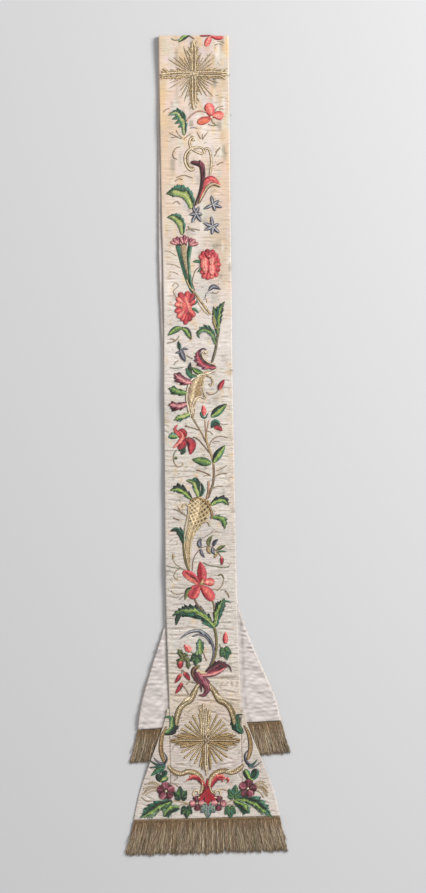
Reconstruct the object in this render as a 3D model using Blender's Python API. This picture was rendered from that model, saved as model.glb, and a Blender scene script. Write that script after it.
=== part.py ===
"""A clergy stole of embroidered silk, folded over at the neck and laid flat.

Metres, +Z up. The stole lies along Y with its neck fold at +Y and rests on z = 0.
The front tail lies on top with its embroidered face up. The back tail lies under it
with its lining up, so its lining and its fringe show beside the front tail.
Every place on a tail is given as a distance down from the crown of the fold
and a distance across from the tail's middle line.
"""

import math
from typing import NamedTuple

import bmesh
import bpy
from mathutils import Vector

# Overall sizes
CROWN_Y = 0.5324
FRONT_LENGTH = 1.0165
BACK_LENGTH = 0.8960
NECK_SEAM = 0.0520

# Cloth thicknesses and the clearances between pieces
FACE_THICK = 0.0015
LINING_THICK = 0.0010
SEAM_GAP = 0.0003
PAD_GAP = 0.0004
LINING_INSET = 0.0008

# The neck fold is a soft half round that settles onto the back tail
FOLD_RADIUS = 0.0035
FOLD_Y = CROWN_Y - FOLD_RADIUS
FOLD_SETTLE = 0.070
LINING_TOP_END = 0.0060
STACK = FACE_THICK + SEAM_GAP + LINING_THICK + SEAM_GAP

# Past the tips of the back fringe the front tail comes down to the floor
DROP_START = 0.9360
DROP_LENGTH = 0.0480

# Hems turn a little over the last stretch of each tail
TURN_REACH = 0.2500

# Width that a gore's upper point is cut off at
GORE_POINT = 0.0016

# Fringe: a heading strip, and strands that fan out and end unevenly just above the floor
STRANDS = 124
STRIP_DEEP = 0.0060
STRIP_THICK = 0.0020
STRAND_WIDE = 0.0010
STRAND_THICK = 0.0010
STRAND_REST = 0.0003
STRAND_STACK = 0.0008
STRAND_SWAY = 0.0016
STRAND_UNEVEN = 0.0012
FRONT_STRAND = 0.0395
BACK_STRAND = 0.0365
FRINGE_SPREAD = 0.0110

# Raised gold work
GOLD_THICK = 0.0009
CROSS_DISC = 0.0080
ARM_WIDE = 0.0036
RAY_WIDE = 0.0010
RAY_LENGTH = 0.0385
RAYS_BETWEEN_ARMS = 5
NECK_CROSS_DOWN = 0.0500
FRONT_CROSS_DOWN = 0.9150

# Longest step between a wall's rows: where it lies flat, where it drops, and on the back tail
FLAT_STEP = 0.0120
DROP_STEP = 0.0070
NECK_STEP = 0.0085
BACK_STEP = 0.0200
BACK_GORE_STEP = 0.0100
DROP_LEAD = 0.0240


class Section(NamedTuple):
    """One cross-section of a tail's centre band."""

    down: float
    middle: float
    half: float


class Flare(NamedTuple):
    """How far a spade end stands out past the centre band, at a height above the hem."""

    up: float
    out: float


class Tail(NamedTuple):
    """A tail of the stole, with the angle by which its hem is turned."""

    sections: tuple
    spade: tuple
    length: float
    gore_height: float
    hem_turn: float


FRONT = Tail(
    sections=(
        Section(down=0.000, middle=-0.0156, half=0.0455),
        Section(down=0.213, middle=-0.0126, half=0.0448),
        Section(down=0.343, middle=-0.0103, half=0.0442),
        Section(down=0.473, middle=-0.0092, half=0.0446),
        Section(down=0.603, middle=-0.0073, half=0.0455),
        Section(down=0.733, middle=-0.0055, half=0.0460),
        Section(down=0.863, middle=-0.0009, half=0.0465),
        Section(down=1.030, middle=0.0018, half=0.0465),
    ),
    spade=(
        Flare(up=0.000, out=0.0488),
        Flare(up=0.035, out=0.0405),
        Flare(up=0.060, out=0.0315),
        Flare(up=0.085, out=0.0220),
        Flare(up=0.110, out=0.0122),
        Flare(up=0.135, out=0.0040),
        Flare(up=0.160, out=0.0000),
    ),
    length=FRONT_LENGTH,
    gore_height=0.1420,
    hem_turn=math.radians(1.65),
)
BACK = Tail(
    sections=(
        Section(down=0.000, middle=-0.0156, half=0.0455),
        Section(down=0.148, middle=-0.0172, half=0.0445),
        Section(down=0.291, middle=-0.0168, half=0.0442),
        Section(down=0.369, middle=-0.0143, half=0.0442),
        Section(down=0.473, middle=-0.0100, half=0.0442),
        Section(down=0.629, middle=-0.0062, half=0.0442),
        Section(down=0.733, middle=-0.0028, half=0.0443),
        Section(down=0.800, middle=-0.0008, half=0.0445),
        Section(down=0.850, middle=0.0020, half=0.0447),
        Section(down=0.910, middle=0.0058, half=0.0450),
    ),
    spade=(
        Flare(up=0.000, out=0.0488),
        Flare(up=0.020, out=0.0456),
        Flare(up=0.038, out=0.0409),
        Flare(up=0.060, out=0.0332),
        Flare(up=0.085, out=0.0240),
        Flare(up=0.110, out=0.0146),
        Flare(up=0.135, out=0.0064),
        Flare(up=0.150, out=0.0026),
        Flare(up=0.165, out=0.0000),
    ),
    length=BACK_LENGTH,
    gore_height=0.1500,
    hem_turn=math.radians(3.7),
)


class Buckle(NamedTuple):
    """A low swell where the stiff cloth lifts off what it lies on."""

    down: float
    across: float
    high: float
    reach: float
    width: float
    lean: float


BUCKLES = (
    Buckle(down=0.118, across=-0.030, high=0.0011, reach=0.024, width=0.045, lean=0.10),
    Buckle(down=0.176, across=0.034, high=0.0013, reach=0.026, width=0.040, lean=-0.25),
    Buckle(down=0.248, across=-0.010, high=0.0009, reach=0.022, width=0.080, lean=0.15),
    Buckle(down=0.312, across=0.040, high=0.0015, reach=0.028, width=0.036, lean=0.00),
    Buckle(down=0.352, across=-0.038, high=0.0012, reach=0.024, width=0.038, lean=0.30),
    Buckle(down=0.408, across=0.010, high=0.0010, reach=0.022, width=0.070, lean=-0.12),
    Buckle(down=0.470, across=-0.042, high=0.0016, reach=0.030, width=0.034, lean=0.05),
    Buckle(down=0.531, across=0.026, high=0.0012, reach=0.024, width=0.052, lean=0.20),
    Buckle(down=0.577, across=-0.020, high=0.0009, reach=0.021, width=0.060, lean=-0.18),
    Buckle(down=0.640, across=0.043, high=0.0015, reach=0.029, width=0.034, lean=0.00),
    Buckle(down=0.702, across=-0.034, high=0.0013, reach=0.025, width=0.044, lean=0.22),
    Buckle(down=0.758, across=0.012, high=0.0010, reach=0.023, width=0.075, lean=-0.10),
    Buckle(down=0.815, across=-0.042, high=0.0014, reach=0.026, width=0.036, lean=0.00),
    Buckle(down=0.846, across=0.044, high=0.0012, reach=0.024, width=0.034, lean=0.15),
)


class Turn(NamedTuple):
    """A point on the line of a raised gold scroll, with its width there."""

    across: float
    down: float
    wide: float


# The scroll frame round the front cross, for the right-hand side
ARCH = (
    Turn(across=0.0085, down=0.8440, wide=0.0030),
    Turn(across=0.0130, down=0.8520, wide=0.0062),
    Turn(across=0.0185, down=0.8625, wide=0.0066),
    Turn(across=0.0260, down=0.8670, wide=0.0060),
    Turn(across=0.0320, down=0.8730, wide=0.0064),
    Turn(across=0.0358, down=0.8820, wide=0.0068),
    Turn(across=0.0380, down=0.8960, wide=0.0040),
)
SIDE_SCROLL = (
    Turn(across=0.0500, down=0.8960, wide=0.0016),
    Turn(across=0.0560, down=0.9080, wide=0.0040),
    Turn(across=0.0582, down=0.9220, wide=0.0050),
    Turn(across=0.0570, down=0.9330, wide=0.0048),
    Turn(across=0.0535, down=0.9425, wide=0.0030),
)
SWEEP = (
    Turn(across=0.0500, down=0.9470, wide=0.0030),
    Turn(across=0.0420, down=0.9545, wide=0.0052),
    Turn(across=0.0330, down=0.9580, wide=0.0054),
    Turn(across=0.0240, down=0.9555, wide=0.0058),
    Turn(across=0.0140, down=0.9575, wide=0.0060),
    Turn(across=0.0068, down=0.9640, wide=0.0052),
    Turn(across=0.0045, down=0.9740, wide=0.0042),
    Turn(across=0.0070, down=0.9830, wide=0.0030),
    Turn(across=0.0125, down=0.9850, wide=0.0022),
)

# The gold shell and the gold horn on the band
SHELL = (
    Turn(across=0.0152, down=0.4355, wide=0.0028),
    Turn(across=0.0085, down=0.4395, wide=0.0070),
    Turn(across=0.0015, down=0.4465, wide=0.0150),
    Turn(across=-0.0030, down=0.4575, wide=0.0190),
    Turn(across=-0.0045, down=0.4670, wide=0.0185),
    Turn(across=-0.0078, down=0.4755, wide=0.0125),
    Turn(across=-0.0092, down=0.4855, wide=0.0062),
    Turn(across=-0.0078, down=0.4960, wide=0.0022),
)
HORN = (
    Turn(across=0.0010, down=0.5985, wide=0.0100),
    Turn(across=0.0005, down=0.6035, wide=0.0240),
    Turn(across=0.0000, down=0.6110, wide=0.0295),
    Turn(across=-0.0020, down=0.6220, wide=0.0260),
    Turn(across=-0.0078, down=0.6350, wide=0.0170),
    Turn(across=-0.0125, down=0.6470, wide=0.0115),
    Turn(across=-0.0155, down=0.6600, wide=0.0085),
    Turn(across=-0.0160, down=0.6760, wide=0.0062),
    Turn(across=-0.0140, down=0.6930, wide=0.0020),
)


class Finish(NamedTuple):
    """A material's colour and how it takes the light."""

    colour: tuple
    roughness: float
    metallic: float


FINISHES = {
    "embroidered_silk": Finish(colour=(0.72, 0.64, 0.54, 1), roughness=0.50, metallic=0),
    "lining_silk": Finish(colour=(0.64, 0.58, 0.56, 1), roughness=0.40, metallic=0),
    "fringe_thread": Finish(colour=(0.28, 0.20, 0.12, 1), roughness=0.45, metallic=0.5),
    "gold_thread": Finish(colour=(0.50, 0.36, 0.16, 1), roughness=0.35, metallic=0.8),
}


def clear_scene():
    for old in list(bpy.data.objects):
        bpy.data.objects.remove(old)


def ease(share):
    """A smooth step from 0 to 1."""
    share = min(max(share, 0.0), 1.0)
    return share * share * (3 - 2 * share)


def read(table, column, at):
    """A column's value on a smooth curve through a table, whose first column is the place."""
    places = [row[0] for row in table]
    values = [getattr(row, column) for row in table]
    last = len(places) - 1
    at = min(max(at, places[0]), places[last])
    i = max(k for k in range(last) if places[k] <= at)
    slopes = []
    for k in (i, i + 1):
        low, high = max(k - 1, 0), min(k + 1, last)
        slopes.append((values[high] - values[low]) / (places[high] - places[low]))
    span = places[i + 1] - places[i]
    t = (at - places[i]) / span
    start = (1 + 2 * t) * (1 - t) ** 2 * values[i] + t * (1 - t) ** 2 * span * slopes[0]
    end = t * t * (3 - 2 * t) * values[i + 1] + t * t * (t - 1) * span * slopes[1]
    return start + end


def band_half(tail, down):
    return read(tail.sections, "half", down)


def flare_out(tail, down):
    """Width of the gore at a place down the tail."""
    up = tail.length - down
    return max(read(tail.spade, "out", up), 0.0) if up < tail.spade[-1].up else 0.0


def spot(tail, down, across):
    """The x and y of a place on a tail."""
    turn = tail.hem_turn * ease(1 - (tail.length - down) / TURN_REACH)
    x = read(tail.sections, "middle", down) + across * math.cos(turn)
    return x, CROWN_Y - down + across * math.sin(turn)


def swell(down, across):
    """How far the front tail's buckles lift it."""
    total = 0.0
    for b in BUCKLES:
        along = (down - b.down - b.lean * across) / b.reach
        side = (across - b.across) / b.width
        total += b.high * math.exp(-along * along - side * side)
    return total


def front_top(down, across):
    """Height of the front tail's embroidered surface."""
    bulge = (2 * FOLD_RADIUS - FACE_THICK - STACK) * (1 - ease((down - FOLD_RADIUS) / FOLD_SETTLE))
    on_back = STACK * (1 - ease((down - DROP_START) / DROP_LENGTH))
    return FACE_THICK + on_back + bulge + swell(down, across)


def on_front(down, across, lift):
    """A point above the front tail's embroidered surface, or inside the wall below it."""
    x, y = spot(FRONT, down, across)
    return Vector((x, y, front_top(down, across) + lift))


def on_back_face(down, across, lift):
    """A point above the back tail's embroidered surface, which faces the floor."""
    x, y = spot(BACK, down, across)
    return Vector((x, y, -lift))


def round_fold(angle, across, lift):
    """A point on the half round of the fold, from -90 degrees below to 90 degrees on top."""
    tail = FRONT if angle > 0 else BACK
    x, _ = spot(tail, FOLD_RADIUS * (1 - math.cos(angle)), across)
    radius = FOLD_RADIUS + lift
    return Vector((x, FOLD_Y + radius * math.cos(angle), FOLD_RADIUS + radius * math.sin(angle)))


def steps(start, end, longest):
    """Evenly spaced values from start to end, no further apart than longest."""
    count = math.ceil(abs(end - start) / longest)
    return [start + (end - start) * i / count for i in range(count + 1)]


def finish_object(bm, name, finish):
    """Turns a bmesh into a named object with its material."""
    mesh = bpy.data.meshes.new(name)
    bm.to_mesh(mesh)
    bm.free()
    material = bpy.data.materials.get(finish) or bpy.data.materials.new(finish)
    material.use_nodes = True
    look = FINISHES[finish]
    shader = material.node_tree.nodes["Principled BSDF"]
    shader.inputs["Base Color"].default_value = look.colour
    shader.inputs["Roughness"].default_value = look.roughness
    shader.inputs["Metallic"].default_value = look.metallic
    mesh.materials.append(material)
    obj = bpy.data.objects.new(name, mesh)
    bpy.context.collection.objects.link(obj)
    return obj


def wall(name, finish, rows, columns, outer, inner):
    """A closed wall of cloth between two surfaces, each a function of a row and a share across."""
    bm = bmesh.new()
    bmesh.ops.create_grid(bm, x_segments=columns, y_segments=len(rows) - 1, size=1)
    first = bm.verts[:]
    made = bmesh.ops.extrude_face_region(bm, geom=bm.faces[:])["geom"]
    second = [v for v in made if isinstance(v, bmesh.types.BMVert)]
    for verts, surface in ((first, outer), (second, inner)):
        for vert in verts:
            share = vert.co.x
            row = rows[round((1 - vert.co.y) / 2 * (len(rows) - 1))]
            vert.co = surface(row, share)
    bmesh.ops.recalc_face_normals(bm, faces=bm.faces[:])
    return finish_object(bm, name, finish)


def band_front():
    """The front tail's centre band, from the neck seam to the hem."""
    change = DROP_START - DROP_LEAD
    upper = steps(NECK_SEAM + SEAM_GAP / 2, change, FLAT_STEP)
    lower = steps(change, FRONT_LENGTH, DROP_STEP)[1:]

    def surface(lift):
        return lambda down, share: on_front(down, share * band_half(FRONT, down), lift)

    return wall("band_front", "embroidered_silk", upper + lower, 6, surface(0), surface(-FACE_THICK))


def band_back():
    """The centre band from the neck seam, over the fold, to the back hem."""
    top = [("top", down) for down in steps(NECK_SEAM - SEAM_GAP / 2, FOLD_RADIUS, NECK_STEP)]
    turn = [("fold", angle) for angle in steps(math.pi / 2, -math.pi / 2, math.radians(20))]
    under = [("under", down) for down in steps(FOLD_RADIUS, BACK_LENGTH, BACK_STEP)]

    def surface(lift):
        def point(row, share):
            part, at = row
            if part == "top":
                return on_front(at, share * band_half(FRONT, at), lift)
            if part == "fold":
                tail = FRONT if at > 0 else BACK
                return round_fold(at, share * band_half(tail, 0.0), lift)
            return on_back_face(at, share * band_half(BACK, at), lift)

        return point

    rows = top[:-1] + turn + under[1:]
    return wall("band_back", "embroidered_silk", rows, 4, surface(0), surface(-FACE_THICK))


def gore(name, tail, side, place, longest):
    """A side gore of a spade end, cut as a triangle that widens to the hem."""
    rows = steps(tail.length - tail.gore_height, tail.length, longest)

    def surface(lift):
        def point(down, share):
            inner = band_half(tail, down) + SEAM_GAP
            outer = band_half(tail, down) + max(flare_out(tail, down), GORE_POINT)
            return place(down, side * (inner + (outer - inner) * (share + 1) / 2), lift)

        return point

    return wall(name, "embroidered_silk", rows, 3, surface(0), surface(-FACE_THICK))


def lining():
    """The lining of the back tail, which shows beside the front tail."""
    base = FACE_THICK + SEAM_GAP
    rows = steps(LINING_TOP_END, BACK_LENGTH - LINING_INSET, BACK_STEP)

    def surface(height):
        def point(down, share):
            half = band_half(BACK, down) + flare_out(BACK, down) - LINING_INSET
            x, y = spot(BACK, down, share * half)
            return Vector((x, y, height))

        return point

    return wall("lining_back", "lining_silk", rows, 4, surface(base), surface(base + LINING_THICK))


def draw_out(bm, face, rings, tip):
    """Draws a face out through rings of (middle, sideways half, upward half) to a point."""
    root = face.calc_center_median()
    sideways = rings[0][1]
    for middle, side, rise in rings:
        signs = []
        for vert in face.verts:
            offset = vert.co - root
            signs.append((math.copysign(1, offset.dot(sideways)), math.copysign(1, offset.z)))
        face = bmesh.ops.extrude_discrete_faces(bm, faces=[face])["faces"][0]
        for vert, (right, top) in zip(face.verts, signs):
            vert.co = middle + side * right + Vector((0, 0, rise * top))
        root, sideways = middle, side
    centre = bmesh.ops.poke(bm, faces=[face])["verts"][0]
    centre.co = tip


def root_faces(bm, outline_keys, edge_pairs):
    """The side faces of an extruded outline that stand on the given pairs of outline points."""
    found = {}
    for face in bm.faces:
        keys = {outline_keys[v] for v in face.verts if v in outline_keys}
        if len(face.verts) == 4 and frozenset(keys) in edge_pairs:
            found[frozenset(keys)] = face
    return [found[pair] for pair in edge_pairs]


def thick_outline(points, thick):
    """A plate from a flat outline, with each bottom and top corner's number in the outline."""
    bm = bmesh.new()
    bottom = [bm.verts.new(p) for p in points]
    plate = bm.faces.new(bottom)
    made = bmesh.ops.extrude_face_region(bm, geom=[plate])["geom"]
    top = [v for v in made if isinstance(v, bmesh.types.BMVert)]
    number = {(round(v.co.x, 6), round(v.co.y, 6)): i for i, v in enumerate(bottom)}
    keys = {v: number[(round(v.co.x, 6), round(v.co.y, 6))] for v in bottom + top}
    for vert in top:
        vert.co.z += thick
    bmesh.ops.recalc_face_normals(bm, faces=bm.faces[:])
    return bm, keys


def fringe(name, tail, mean_length, phase):
    """A fringe: a narrow heading strip just past the hem, with its strands drawn out of it."""
    start = tail.length + SEAM_GAP
    half = band_half(tail, tail.length) + flare_out(tail, tail.length)
    pitch = 2 * half / STRANDS
    corners = [(-half, start), (half, start)]
    for i in reversed(range(STRANDS)):
        middle = -half + (i + 0.5) * pitch
        corners += [(middle + STRAND_WIDE / 2, start + STRIP_DEEP)]
        corners += [(middle - STRAND_WIDE / 2, start + STRIP_DEEP)]
    points = []
    for across, down in corners:
        x, y = spot(tail, down, across)
        points.append(Vector((x, y, 0.0)))
    bm, keys = thick_outline(points, STRIP_THICK)
    pairs = [frozenset((2 + 2 * i, 3 + 2 * i)) for i in range(STRANDS)]
    for i, face in enumerate(root_faces(bm, keys, pairs)):
        number = STRANDS - 1 - i
        root = -half + (number + 0.5) * pitch
        length = mean_length + STRAND_UNEVEN * math.sin(number * 2.399 + phase)
        length += STRAND_UNEVEN * math.sin(number * 0.21 + 2 * phase)
        sway = STRAND_SWAY * (math.sin(number * 0.17 + phase) + math.sin(number * 0.43) / 2)
        rise = STRAND_REST + STRAND_THICK / 2
        rise += STRAND_STACK * (1 + math.sin(number * 1.9 + phase)) / 2

        def at(share, root=root, length=length, sway=sway):
            out = root * (1 + FRINGE_SPREAD / half * share ** 1.3)
            x, y = spot(tail, start + STRIP_DEEP + length * share, out + sway * share ** 2)
            return Vector((x, y, rise))

        side = (at(0.2, root + 0.001) - at(0.2)).normalized() * STRAND_WIDE / 2
        rings = [(at(0.15), side, STRAND_THICK / 2), (at(0.62), side * 0.9, STRAND_THICK / 2)]
        draw_out(bm, face, rings, at(1.0))
    return finish_object(bm, name, "fringe_thread")


def cross(name, middle_down, arms):
    """A raised gold cross: a small disc with four arms and the rays between them.

    arms gives the length of the right, upper, left and lower arm.
    """
    spokes = []
    for quarter, arm in enumerate(arms):
        start = quarter * math.pi / 2
        spokes.append((start, arm, ARM_WIDE))
        for k in range(1, RAYS_BETWEEN_ARMS + 1):
            angle = start + math.pi / 2 * (k + 0.35) / (RAYS_BETWEEN_ARMS + 1.7)
            spokes.append((angle, RAY_LENGTH, RAY_WIDE))

    def place(radius, angle, aside, lift):
        across = radius * math.cos(angle) - aside * math.sin(angle)
        down = middle_down - radius * math.sin(angle) - aside * math.cos(angle)
        return on_front(down, across, lift)

    points = []
    for angle, _, wide in spokes:
        for aside in (-wide / 2, wide / 2):
            spread = math.asin(aside / CROSS_DISC)
            points.append(place(CROSS_DISC, angle + spread, 0.0, PAD_GAP))
    bm, keys = thick_outline(points, GOLD_THICK)
    pairs = [frozenset((2 * i, 2 * i + 1)) for i in range(len(spokes))]
    for (angle, length, wide), face in zip(spokes, root_faces(bm, keys, pairs)):
        rings = []
        for share, swelling in ((0.15, 1.3), (0.50, 1.3), (0.82, 1.0)):
            radius = CROSS_DISC + (length - CROSS_DISC) * share
            middle = place(radius, angle, 0.0, PAD_GAP + GOLD_THICK / 2)
            side = place(radius, angle, swelling * wide / 2, PAD_GAP + GOLD_THICK / 2) - middle
            side.z = 0
            rings.append((middle, side, GOLD_THICK / 2))
        draw_out(bm, face, rings, place(length, angle, 0.0, PAD_GAP + GOLD_THICK / 2))
    return finish_object(bm, name, "gold_thread")


def through(turns, per_turn):
    """Points on a smooth line through a scroll's turns, each with its width."""
    line = []
    last = len(turns) - 1
    for i in range(last):
        before, start, end, after = (turns[min(max(k, 0), last)] for k in range(i - 1, i + 3))
        for step in range(per_turn):
            t = step / per_turn
            point = []
            for a, b, c, d in zip(before, start, end, after):
                bend = (2 * b + (c - a) * t + (2 * a - 5 * b + 4 * c - d) * t * t)
                point.append((bend + (3 * b - a - 3 * c + d) * t ** 3) / 2)
            line.append(Turn(*point))
    return line + [turns[last]]


def scroll(name, turns, side, columns, per_turn=2):
    """A raised gold scroll that lies on the front tail along its turns."""
    line = through([Turn(side * t.across, t.down, t.wide) for t in turns], per_turn)

    def surface(lift):
        def point(i, share):
            before, after = line[max(i - 1, 0)], line[min(i + 1, len(line) - 1)]
            run = Vector((after.across - before.across, after.down - before.down)).normalized()
            aside = share * line[i].wide / 2
            across, down = line[i].across - run.y * aside, line[i].down + run.x * aside
            return on_front(down, across, lift)

        return point

    rows = list(range(len(line)))
    return wall(name, "gold_thread", rows, columns, surface(PAD_GAP), surface(PAD_GAP + GOLD_THICK))


def build():
    clear_scene()
    band_front()
    band_back()
    for side, word in ((-1, "left"), (1, "right")):
        gore(f"gore_front_{word}", FRONT, side, on_front, DROP_STEP)
        gore(f"gore_back_{word}", BACK, side, on_back_face, BACK_GORE_STEP)
        scroll(f"frame_arch_{word}", ARCH, side, 1)
        scroll(f"frame_side_{word}", SIDE_SCROLL, side, 1)
        scroll(f"frame_sweep_{word}", SWEEP, side, 1)
    lining()
    fringe("fringe_front", FRONT, FRONT_STRAND, 0.4)
    fringe("fringe_back", BACK, BACK_STRAND, 1.7)
    cross("cross_neck", NECK_CROSS_DOWN, (0.0435, 0.0420, 0.0435, 0.0460))
    cross("cross_front", FRONT_CROSS_DOWN, (0.0455, 0.0410, 0.0455, 0.0430))
    scroll("gold_shell", SHELL, 1, 2)
    scroll("gold_horn", HORN, 1, 3)


build()
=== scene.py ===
# %% [markdown]
# A clergy stole of ivory silk, embroidered in coloured silk and gold thread.
# It is folded in two at the neck and lies flat, and the camera looks straight down on it.
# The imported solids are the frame. Each one is replaced here by a finer piece of the same form.

# %% Setup
import math
from typing import NamedTuple

import bmesh
import bpy
import numpy as np
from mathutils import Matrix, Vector


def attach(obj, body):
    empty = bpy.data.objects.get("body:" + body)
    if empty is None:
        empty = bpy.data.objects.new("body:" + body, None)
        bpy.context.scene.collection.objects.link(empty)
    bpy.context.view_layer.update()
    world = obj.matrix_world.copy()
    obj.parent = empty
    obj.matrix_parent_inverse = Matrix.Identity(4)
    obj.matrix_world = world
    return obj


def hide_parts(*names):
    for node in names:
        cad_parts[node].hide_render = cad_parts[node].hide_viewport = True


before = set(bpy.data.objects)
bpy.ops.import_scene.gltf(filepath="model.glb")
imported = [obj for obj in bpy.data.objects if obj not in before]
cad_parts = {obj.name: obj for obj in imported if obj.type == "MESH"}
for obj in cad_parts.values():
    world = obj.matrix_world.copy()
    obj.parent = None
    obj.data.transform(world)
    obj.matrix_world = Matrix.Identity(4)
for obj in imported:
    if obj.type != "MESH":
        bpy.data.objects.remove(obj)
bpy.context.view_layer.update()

# %% [markdown]
# The camera stands 4 m above the stole, so that the picture is nearly free of perspective.
# Its picture is 426 by 893 squares of 1.3 mm, and the embroiderer's pattern is ruled in the same squares.
# So a motif's place is written in squares, across and down, and turned into metres in one function.

# %% Camera
SQUARE = 0.0013
PICTURE_WIDE = 426
PICTURE_HIGH = 893
CAMERA_HIGH = 4.0
SENSOR = 36.0
RULED_MIDDLE = 205.5
RULED_TOP = 36.0
CROWN_Y = 0.5324


def ruled(x, y):
    """The place in metres of a spot on the ruled pattern."""
    return (x - RULED_MIDDLE) * SQUARE, CROWN_Y - (y - RULED_TOP) * SQUARE


def add_camera():
    data = bpy.data.cameras.new("camera")
    data.sensor_width = SENSOR
    data.lens = SENSOR * CAMERA_HIGH / (PICTURE_HIGH * SQUARE)
    camera = bpy.data.objects.new("camera", data)
    x, y = ruled(PICTURE_WIDE / 2, PICTURE_HIGH / 2)
    camera.location = (x, y, CAMERA_HIGH)
    bpy.context.scene.collection.objects.link(camera)
    bpy.context.scene.camera = camera
    return camera


camera = add_camera()
print("camera over", [round(v, 4) for v in camera.location], "lens", round(camera.data.lens, 2))

# %% [markdown]
# One large soft light stands to the upper right, low enough to show the creases of the silk.
# A pale sky fills the shades. The floor is a plain pale plane just under the stole.

# %% Light and floor
KEY_PLACE = (2.30, 1.30, 2.00)
KEY_SIZE = 1.5
KEY_POWER = 118.0
SKY_COLOUR = (1.0, 0.99, 0.98, 1.0)
SKY_STRENGTH = 0.52
FLOOR_SIDE = 8.0
FLOOR_COLOUR = (0.60, 0.60, 0.61, 1.0)
FLOOR_ROUGHNESS = 0.9
FLOOR_DROP = 0.0003


def add_light(name, place, size, power):
    data = bpy.data.lights.new(name, "AREA")
    data.shape = "DISK"
    data.size = size
    data.energy = power
    light = bpy.data.objects.new(name, data)
    light.location = place
    light.rotation_euler = (-Vector(place)).to_track_quat("-Z", "Y").to_euler()
    bpy.context.scene.collection.objects.link(light)


def add_sky():
    world = bpy.data.worlds.new("sky")
    bpy.context.scene.world = world
    world.use_nodes = True
    sky = world.node_tree.nodes["Background"]
    sky.inputs["Color"].default_value = SKY_COLOUR
    sky.inputs["Strength"].default_value = SKY_STRENGTH


def add_floor():
    bm = bmesh.new()
    bmesh.ops.create_grid(bm, x_segments=1, y_segments=1, size=FLOOR_SIDE / 2)
    mesh = bpy.data.meshes.new("floor")
    bm.to_mesh(mesh)
    bm.free()
    floor = bpy.data.objects.new("floor", mesh)
    floor.location.z = -FLOOR_DROP
    bpy.context.scene.collection.objects.link(floor)
    paint = bpy.data.materials.new("floor paint")
    paint.use_nodes = True
    shader = paint.node_tree.nodes["Principled BSDF"]
    shader.inputs["Base Color"].default_value = FLOOR_COLOUR
    shader.inputs["Roughness"].default_value = FLOOR_ROUGHNESS
    mesh.materials.append(paint)


bpy.context.scene.view_settings.view_transform = "Standard"
add_light("key light", KEY_PLACE, KEY_SIZE, KEY_POWER)
add_sky()
add_floor()
print("lit from the upper right")

# %% [markdown]
# The cloth's shape is worked out from the same sizes as the solids, in metres.
# A tail is a centre band of slightly changing width whose lower end flares into a spade.
# The tables are read as smooth curves, and numpy works out many places at once.

# %% Cloth sizes
FRONT_LENGTH = 1.0165
BACK_LENGTH = 0.8960
NECK_SEAM = 0.0520
FACE_THICK = 0.0015
LINING_THICK = 0.0010
SEAM_GAP = 0.0003
LINING_INSET = 0.0008
FOLD_RADIUS = 0.0035
FOLD_Y = CROWN_Y - FOLD_RADIUS
FOLD_SETTLE = 0.070
LINING_TOP_END = 0.0060
STACK = FACE_THICK + SEAM_GAP + LINING_THICK + SEAM_GAP
DROP_START = 0.9360
DROP_LENGTH = 0.0480
TURN_REACH = 0.2500
GORE_POINT = 0.0016


class Section(NamedTuple):
    """One cross-section of a tail's centre band."""

    down: float
    middle: float
    half: float


class Flare(NamedTuple):
    """How far a spade end stands out past the centre band, at a height above the hem."""

    up: float
    out: float


class Tail(NamedTuple):
    """A tail of the stole, with the angle by which its hem is turned."""

    sections: tuple
    spade: tuple
    length: float
    gore_height: float
    hem_turn: float


FRONT = Tail(
    sections=(
        Section(down=0.000, middle=-0.0156, half=0.0455),
        Section(down=0.213, middle=-0.0126, half=0.0448),
        Section(down=0.343, middle=-0.0103, half=0.0442),
        Section(down=0.473, middle=-0.0092, half=0.0446),
        Section(down=0.603, middle=-0.0073, half=0.0455),
        Section(down=0.733, middle=-0.0055, half=0.0460),
        Section(down=0.863, middle=-0.0009, half=0.0465),
        Section(down=1.030, middle=0.0018, half=0.0465),
    ),
    spade=(
        Flare(up=0.000, out=0.0488),
        Flare(up=0.035, out=0.0405),
        Flare(up=0.060, out=0.0315),
        Flare(up=0.085, out=0.0220),
        Flare(up=0.110, out=0.0122),
        Flare(up=0.135, out=0.0040),
        Flare(up=0.160, out=0.0000),
    ),
    length=FRONT_LENGTH,
    gore_height=0.1420,
    hem_turn=math.radians(1.65),
)
BACK = Tail(
    sections=(
        Section(down=0.000, middle=-0.0156, half=0.0455),
        Section(down=0.148, middle=-0.0172, half=0.0445),
        Section(down=0.291, middle=-0.0168, half=0.0442),
        Section(down=0.369, middle=-0.0143, half=0.0442),
        Section(down=0.473, middle=-0.0100, half=0.0442),
        Section(down=0.629, middle=-0.0062, half=0.0442),
        Section(down=0.733, middle=-0.0028, half=0.0443),
        Section(down=0.800, middle=-0.0008, half=0.0445),
        Section(down=0.850, middle=0.0020, half=0.0447),
        Section(down=0.910, middle=0.0058, half=0.0450),
    ),
    spade=(
        Flare(up=0.000, out=0.0488),
        Flare(up=0.020, out=0.0456),
        Flare(up=0.038, out=0.0409),
        Flare(up=0.060, out=0.0332),
        Flare(up=0.085, out=0.0240),
        Flare(up=0.110, out=0.0146),
        Flare(up=0.135, out=0.0064),
        Flare(up=0.150, out=0.0026),
        Flare(up=0.165, out=0.0000),
    ),
    length=BACK_LENGTH,
    gore_height=0.1500,
    hem_turn=math.radians(3.7),
)


def ease(share):
    """A smooth step from 0 to 1."""
    share = np.clip(share, 0.0, 1.0)
    return share * share * (3 - 2 * share)


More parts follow.
